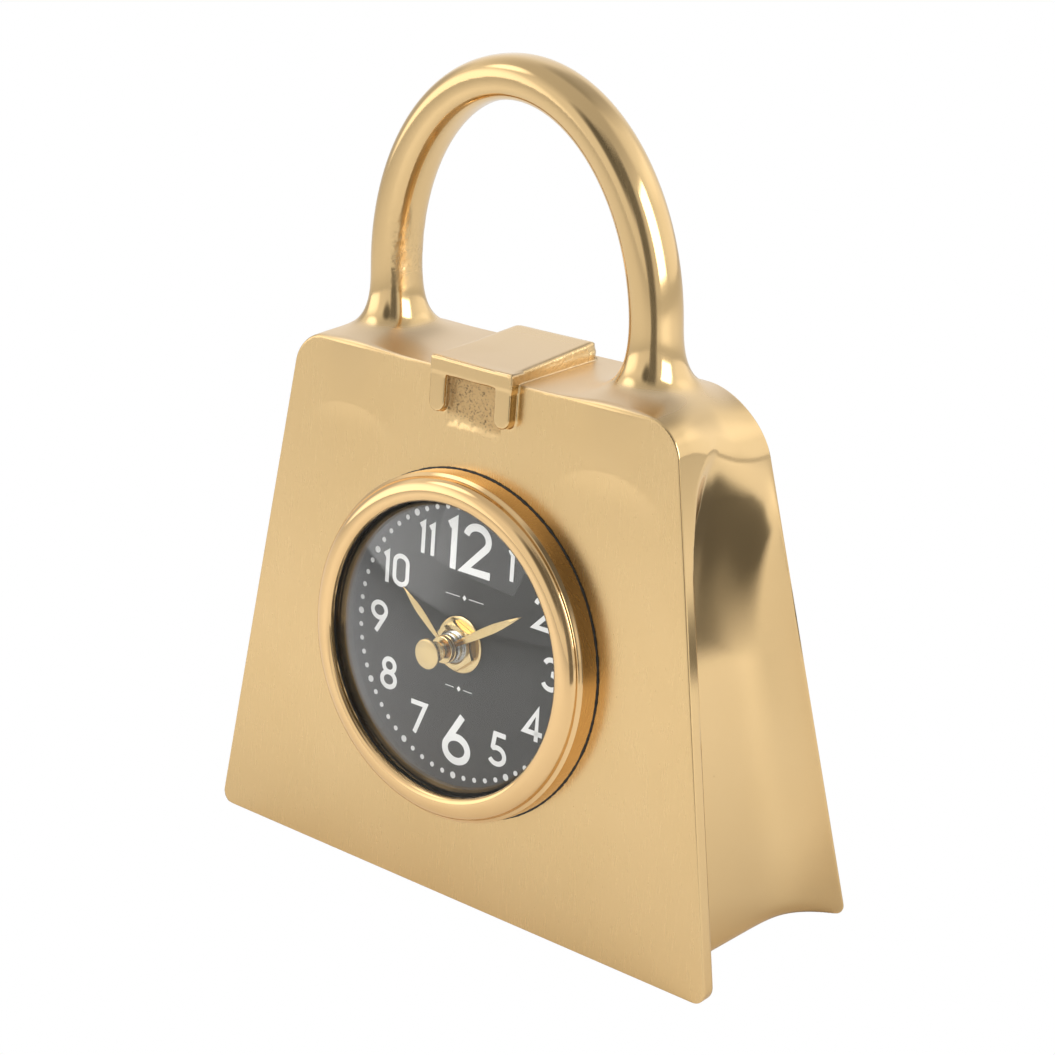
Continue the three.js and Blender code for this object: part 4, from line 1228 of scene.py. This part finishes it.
# A rim, arrows, signs, a plain panel's frame and clips that stand a little proud of the moulded back
def mouldedShapes():
    back, sunk = rearCase["back"], rearCase["sunk"]
    inside, outside = rearCase["rim"]
    rimLow, rimTop = back - 0.1, back + rearCase["rimRise"]
    shapes = [spindleShape(motion, [(inside, rimLow), (outside, rimLow), (outside, rimTop), (inside, rimTop)], 64)]
    for start in rearCase["arrowStarts"]:
        shapes += arrowShapes(start, -back + sunk, -back - rearCase["markRise"])
    for x0, x1, z0, z1 in rearCase["signs"]:
        shapes.append(blockShape(x0, x1, back - sunk, back + rearCase["markRise"], z0, z1))
    (x0, x1, z0, z1), bar = rearCase["panel"], rearCase["panelBar"]
    for left, right, low, high in (
        (x0, x1, z1 - bar, z1), (x0, x1, z0, z0 + bar), (x0, x0 + bar, z0 + bar, z1 - bar),
        (x1 - bar, x1, z0 + bar, z1 - bar),
    ):
        shapes.append(blockShape(left, right, back - sunk, back + rearCase["panelRise"], low, high))
    for x in rearCase["clips"]:
        for side in (1, -1):
            z0, z1 = sorted((side * rearCase["half"], side * (rearCase["half"] + rearCase["clipRise"])))
            reach = rearCase["clipHalf"]
            shapes.append(blockShape(x - reach, x + reach, *rearCase["clipDepth"], z0, z1))
    return shapes


moulded = meshPiece("movementMarks", *gather(*mouldedShapes()), movementMatrix)
place(moulded, "case", "black_plastic", finishes["plastic"])
ribs = {"block": (0, 0.7, 9.0, 21.2, 0, 0.5), "start": -9.4, "step": 2.0, "count": 10}
ribSeed = seedShape(*blockShape(*ribs["block"]))
for name, z in (("ribsTop", rearCase["half"]), ("ribsLow", -rearCase["half"] - 0.5)):
    rowMatrix = movementMatrix @ Matrix.Translation((ribs["start"], 0, z))
    row = spreadPiece(name, "row", finishes["plastic"], rowMatrix, Part=ribSeed, Count=ribs["count"],
                      Step=(ribs["step"], 0.0, 0.0))
    place(row, "case", "black_plastic", finishes["plastic"])
bpy.data.objects.remove(ribSeed)

rubber = {"profile": [(4.1, -5.3), (13.8, -5.3), (14.0, -5.5), (14.0, -6.1), (13.8, -6.3), (4.1, -6.3)]}
place(turnedPiece("rubberWasher", rubber["profile"], 96), "case", "black_rubber", finishes["rubber"],
      "rubber_washer")

cell = {
    "depth": 16.45, "up": -19.0,
    "profile": [
        (0, -24.6), (4.6, -24.6), (5.0, -24.45), (6.3, -24.45), (6.9, -24.3), (7.25, -23.9), (7.25, 23.4),
        (6.9, 23.85), (6.2, 24.0), (3.3, 24.0), (3.1, 24.2), (2.75, 24.25), (2.7, 25.2), (2.5, 25.4), (0, 25.4),
    ],
}


def cellShape():
    points, faces = turnedShape(cell["profile"], 64)
    return [(-p[1], p[0] + cell["depth"], p[2] + cell["up"]) for p in points], faces


place(meshPiece("cellBody", *cellShape(), movementMatrix), "cell", "cell_wrap", finishes["wrap"], "battery_cell")

spring = {
    "turns": 3.5, "wire": 0.32, "wide": 4.4, "taper": 1.7, "start": -26.0, "long": 1.35, "steps": 130, "around": 8,
}


# The coil that presses on the cell's minus end
def springShape():
    steps, around = spring["steps"], spring["around"]
    points, faces = [], []
    for i in range(steps + 1):
        t = i / steps
        angle = 2 * math.pi * spring["turns"] * t
        radius = spring["wide"] - spring["taper"] * t
        x = spring["start"] + spring["long"] * t
        for k in range(around):
            a = 2 * math.pi * k / around
            r = radius + spring["wire"] * math.cos(a)
            points.append((x + spring["wire"] * math.sin(a), cell["depth"] + r * math.cos(angle),
                           cell["up"] + r * math.sin(angle)))
    for i in range(steps):
        for k in range(around):
            j = (k + 1) % around
            faces.append((i * around + k, (i + 1) * around + k, (i + 1) * around + j, i * around + j))
    faces += [tuple(range(around)), tuple(range(steps * around + around - 1, steps * around - 1, -1))]
    return points, faces


place(meshPiece("minusSpring", *springShape(), movementMatrix), "case", "plated_steel", finishes["steel"])

knob = {
    "radius": 5.1, "front": 22.6, "ribs": 24, "rib": (-0.25, 0.42, -0.28, 0.28, 0.0, 2.55),
    "profile": [(0, 22.6), (5.1, 22.6), (5.1, 25.2), (4.7, 25.6), (3.4, 25.6), (3.1, 25.1), (0, 25.1)],
}
knobBody = spindleShape(motion, knob["profile"], 72)
place(meshPiece("settingKnob", *knobBody, movementMatrix), "setting_set", "black_plastic", finishes["plastic"],
      "setting_knob")
# Stands the spread's z along the knob's axis
ontoKnob = movementMatrix @ Matrix.Translation((motion[0], knob["front"], motion[1])) @ Matrix((
    (1, 0, 0, 0), (0, 0, 1, 0), (0, -1, 0, 0), (0, 0, 0, 1),
))
ridgeSeed = seedShape(*blockShape(*knob["rib"]))
knurl = spreadPiece("knobKnurl", "ring", finishes["plastic"], ontoKnob, Part=ridgeSeed, Count=knob["ribs"],
                    Radius=knob["radius"], Skip_Every=0)
place(knurl, "setting_set", "black_plastic", finishes["plastic"])
bpy.data.objects.remove(ridgeSeed)

coil = {
    "turn": [(1.4, -0.1), (2.62, -0.1), (2.74, 0.0), (2.62, 0.1), (1.4, 0.1)], "count": 44, "step": 0.295,
    "start": (-19.35, 14.8, 20.8781),
}
coilRing = lyingRing(coil["turn"], 40, (1, 0, 2))
coilMatrix = movementMatrix @ Matrix.Translation(coil["start"])
winding = spreadPiece("coilTurns", "row", finishes["copper"], coilMatrix, Part=coilRing, Count=coil["count"],
                      Step=(coil["step"], 0.0, 0.0))
place(winding, "case", "copper_wire", finishes["copper"], "coil_winding")
bpy.data.objects.remove(coilRing)
print("movement done")

hands = {
    "minute": {
        "angle": 59.0, "length": 28.6, "widest": 18.2, "half": 1.12, "root": 4.7, "rootHalf": 0.62, "seat": 5.75,
        "hub": [(1.7, 5.65), (3.2, 5.65), (3.4, 5.75), (3.4, 5.98), (3.25, 6.1), (1.7, 6.1)],
    },
    "hour": {
        "angle": -51.0, "length": 19.2, "widest": 12.3, "half": 1.05, "root": 3.0, "rootHalf": 0.45, "seat": 4.45,
        "hub": [(2.65, 4.35), (3.35, 4.35), (3.5, 4.45), (3.5, 4.7), (3.35, 4.85), (2.65, 4.85)],
    },
    "thick": 0.32, "edge": 0.08, "ridge": 0.048, "tip": 0.04,
}


# A lance blade with a faint ridge down its middle
def bladeShape(hand):
    root, widest, length = hand["root"], hand["widest"], hand["length"]
    rootHalf, half = hand["rootHalf"], hand["half"]
    stations = [(root, rootHalf)]
    parts = [i / 8 for i in range(1, 9)]
    stations += [(root + (widest - root) * t, rootHalf + (half - rootHalf) * math.sin(t * math.pi / 2) ** 1.1)
                 for t in parts]
    stations += [(widest + (length - widest) * t, half * (1 - t ** 1.35) + hands["tip"] * t) for t in parts]
    low, thick = hand["seat"], hands["thick"]
    edge, top = low + thick - hands["edge"], low + thick + hands["ridge"]
    points, faces = [], []
    for up, wide in stations:
        points += [(-wide, -low, up), (wide, -low, up), (wide, -edge, up), (0.0, -top, up), (-wide, -edge, up)]
    for i in range(len(stations) - 1):
        for k in range(5):
            j = (k + 1) % 5
            faces.append((i * 5 + k, (i + 1) * 5 + k, (i + 1) * 5 + j, i * 5 + j))
    last = (len(stations) - 1) * 5
    faces += [(0, 1, 2, 3, 4), (last + 4, last + 3, last + 2, last + 1, last)]
    a = math.radians(hand["angle"])
    c, s = math.cos(a), math.sin(a)
    return [(x * c + z * s, y, -x * s + z * c) for x, y, z in points], faces


for key in ("hour", "minute"):
    shape = gather(bladeShape(hands[key]), turnedShape(hands[key]["hub"], 72))
    blade = meshPiece(key + "Hand", *shape, sharpAngle=20)
    place(blade, key + "_set", "hand_brass", finishes["hand"], key + "_hand")

# The cap is turned brass: a thin flat head on a waisted stem
cap = {"profile": [
    (0, 6.7), (1.75, 6.7), (1.75, 7.0), (2.35, 7.3), (2.5, 7.9), (2.1, 8.6), (1.85, 9.4), (2.0, 10.1), (2.7, 10.45),
    (3.6, 10.5), (3.78, 10.6), (3.82, 10.85), (3.8, 11.1), (3.66, 11.28), (3.3, 11.38), (0, 11.4),
]}
place(turnedPiece("handCap", cap["profile"], 96), "minute_set", "hand_brass", finishes["hand"], "hand_cap")

feltPad = {"half": (66.35, 23.25), "thick": 1.0, "corner": 2.0, "eased": 0.2}


def roundedOutline(halfX, halfY, corner, steps=6):
    outline = []
    for cx, cy, start in ((halfX, halfY, 0), (-halfX, halfY, 90), (-halfX, -halfY, 180), (halfX, -halfY, 270)):
        sx, sy = math.copysign(corner, cx), math.copysign(corner, cy)
        for i in range(steps + 1):
            a = math.radians(start + 90 * i / steps)
            outline.append((cx - sx + corner * math.cos(a), cy - sy + corner * math.sin(a)))
    return outline


def feltShape():
    outline = roundedOutline(*feltPad["half"], feltPad["corner"])
    count = len(outline)
    eased = feltPad["eased"]
    levels = ((0.0, -eased), (eased, 0.0), (feltPad["thick"] - 0.05, 0.0))
    points = [(x + math.copysign(grow, x), y + math.copysign(grow, y), z)
              for z, grow in levels for x, y in outline]
    faces = [tuple(range(count)), tuple(range(3 * count - 1, 2 * count - 1, -1))]
    for level in range(2):
        for i in range(count):
            j = (i + 1) % count
            a, b = level * count, (level + 1) * count
            faces.append((a + i, a + j, b + j, b + i))
    return points, faces


place(meshPiece("baseFelt", *feltShape(), Matrix.Scale(mm, 4)), "case", "felt", finishes["felt"], "base_felt")

# What stays hidden inside keeps its CAD shape
inner = {
    "steel": ["contact_plus", "contact_minus", "stator", "quartz_crystal", "rotor_magnet", "minute_arbor"],
    "nylon": ["coil_bobbin", "rotor_pinion", "intermediate_wheel", "second_wheel", "third_wheel", "centre_wheel",
              "minute_wheel", "hour_wheel"],
    "board": ["circuit_board"],
}
for key, names in inner.items():
    for name in names:
        node = frame["nodes"][name]
        node.data.materials.clear()
        node.data.materials.append(finishes[key])
print("pieces done")

# The stage: a pale floor, lamps, and dark cards that only the metal mirrors
stage = {
    "floorTone": 0.86, "floorHalf": 3.0, "cardRoughness": 0.9, "view": "Standard", "exposure": 0.0,
    # name, centre, aim, width, height, tone, and the share of each side that fades out
    "cards": (
        ("cameraSide", (322, -238, 250), (0, 0, 150), 360, 900, 0.2, 0.5),
        # mirrored by the upper part of the right side only, as rays from lower down pass beneath it
        ("rearLow", (122, 56, 68), (122, 56, 200), 98, 100, 0.11, 0.4),
    ),
    # name, centre, aim, width, height, power in watts, and whether the metal mirrors it
    "lamps": (
        ("keyTop", (-350, -500, 900), (0, 0, 60), 700, 500, 3.3, False),
        ("nearFloor", (-130, -290, 230), (-70, -130, 0), 240, 240, 0.2, False),
        ("fillRight", (800, 300, 420), (0, 0, 80), 500, 500, 3.3, True),
    ),
    # patches of the room: the way to look, their width, and how much darker they are; below 0 is brighter
    "patches": (
        ((-0.10, 0.66, 0.74), 0.08, 0.35), ((0.264, -0.797, 0.533), 0.09, 0.8), ((-0.9, 0.1, 0.1), 0.1, 0.4),
        ((0.42, 0.90, 0.10), 0.10, -0.4), ((0.33, 0.71, 0.61), 0.08, -0.35), ((-0.60, -0.40, 0.66), 0.03, -1.6),
        ((-0.80, -0.60, 0.06), 0.10, -0.8),
    ),
}


def matteGrey(name, tone):
    return newMaterial(name, **{"Base Color": asColour(tone, tone, tone), "Roughness": stage["cardRoughness"]})


# Straight from the camera the floor is the same white as the room
def floorWhite():
    material, n, shader = matteGrey("floorWhite", stage["floorTone"])
    seen = n.add("ShaderNodeLightPath").outputs["Is Camera Ray"]
    white = n.add("ShaderNodeEmission", {"Color": asColour(1, 1, 1), "Strength": 1.0})
    mixSurface(material, n, seen, shader, white)
    return material


# A card's tone, which fades out towards its edges
def softCard(name, tone, width, height, fade):
    material, n, shader = matteGrey(name, tone)
    spot = n.add("ShaderNodeSeparateXYZ", {0: n.onPiece()})
    masks = []
    for k, size in enumerate((width, height)):
        away = n.maths("ABSOLUTE", spot.outputs[k])
        masks.append(n.ramp(away, size * mm / 2 * (1 - fade), size * mm / 2, 1.0, 0.0))
    mixSurface(material, n, n.maths("MULTIPLY", *masks), n.add("ShaderNodeBsdfTransparent"), shader)
    return material


def aimed(centre, aim):
    return Matrix.Translation(centre) @ (aim - centre).to_track_quat("Z", "Y").to_matrix().to_4x4()


def card(name, centre, aim, width, height, tone, fade):
    w, h = width * mm / 2, height * mm / 2
    mesh = bpy.data.meshes.new(name)
    mesh.from_pydata([(-w, -h, 0), (w, -h, 0), (w, h, 0), (-w, h, 0)], [], [(0, 1, 2, 3)])
    mesh.materials.append(softCard(name, tone, width, height, fade))
    panel = newObject(name, mesh)
    panel.matrix_world = aimed(Vector(centre) * mm, Vector(aim) * mm)
    panel.visible_camera = panel.visible_shadow = panel.visible_diffuse = False


def areaLight(name, centre, aim, width, height, power, mirrored):
    data = bpy.data.lights.new(name, "AREA")
    data.shape = "RECTANGLE"
    data.size, data.size_y = width * mm, height * mm
    data.energy = power
    lamp = newObject(name, data)
    # a lamp shines along its own -Z
    centre, aim = Vector(centre) * mm, Vector(aim) * mm
    lamp.matrix_world = aimed(centre, 2 * centre - aim)
    lamp.visible_glossy = mirrored


# The world as the metal sees it: bright all round with graded tone; the camera sees plain white
def makeWorld():
    world = bpy.data.worlds.new("room")
    bpy.context.scene.world = world
    world.use_nodes = True
    n = Nodes(world.node_tree)
    background = world.node_tree.nodes["Background"]
    direction = n.add("ShaderNodeNewGeometry").outputs["Incoming"]
    parts = n.add("ShaderNodeSeparateXYZ", {0: direction})
    # Incoming points back at the viewer, so the way looked in is its opposite
    lookX, lookY, lookZ = (n.maths("MULTIPLY", parts.outputs[k], -1.0) for k in range(3))
    height = n.ramp(lookZ, 0.45, 0.85, 1.0, 0.68)
    left = n.ramp(lookX, 0.9, -0.9, 0.85, 1.08)
    tone = n.maths("MULTIPLY", height, left)
    for centre, width, depth in stage["patches"]:
        near = n.add("ShaderNodeVectorMath", {0: direction, 1: tuple(-c for c in Vector(centre).normalized())},
                     operation="DOT_PRODUCT").outputs["Value"]
        tone = n.maths("MULTIPLY", tone, n.ramp(near, 1 - width, 1 - width * 0.25, 1.0, 1 - depth))
    seen = n.add("ShaderNodeLightPath").outputs["Is Camera Ray"]
    room = n.add("ShaderNodeCombineColor", {0: tone, 1: tone, 2: n.maths("MULTIPLY", tone, 0.99)}).outputs[0]
    n.link(n.mixColour(seen, room, asColour(1, 1, 1)), background.inputs["Color"])
    background.inputs["Strength"].default_value = 1.0


makeWorld()
reach = stage["floorHalf"]
floorMesh = bpy.data.meshes.new("floor")
floorMesh.from_pydata([(-reach, -reach, 0), (reach, -reach, 0), (reach, reach, 0), (-reach, reach, 0)], [],
                      [(0, 1, 2, 3)])
floorMesh.materials.append(floorWhite())
newObject("floor", floorMesh)
for row in stage["cards"]:
    card(*row)
for row in stage["lamps"]:
    areaLight(*row)

sight = {
    "place": (375.395, -428.726, 296.555), "azimuth": 41.023, "elevation": 19.788, "roll": 0.211, "lens": 82.99,
}


def makeCamera():
    data = bpy.data.cameras.new("sight")
    data.lens, data.sensor_width = sight["lens"], 36
    data.clip_start, data.clip_end = 0.01, 20
    camera = newObject("sight", data)
    a, e, r = (math.radians(sight[k]) for k in ("azimuth", "elevation", "roll"))
    back = Vector((math.sin(a) * math.cos(e), -math.cos(a) * math.cos(e), math.sin(e)))
    right = Vector((math.cos(a), math.sin(a), 0))
    up = back.cross(right)
    right, up = math.cos(r) * right + math.sin(r) * up, math.cos(r) * up - math.sin(r) * right
    turn = Matrix((right, up, back)).transposed().to_4x4()
    camera.matrix_world = Matrix.Translation(Vector(sight["place"]) * mm) @ turn
    bpy.context.scene.camera = camera


makeCamera()
bpy.context.scene.view_settings.view_transform = stage["view"]
bpy.context.scene.view_settings.look = "None"
bpy.context.scene.view_settings.exposure = stage["exposure"]
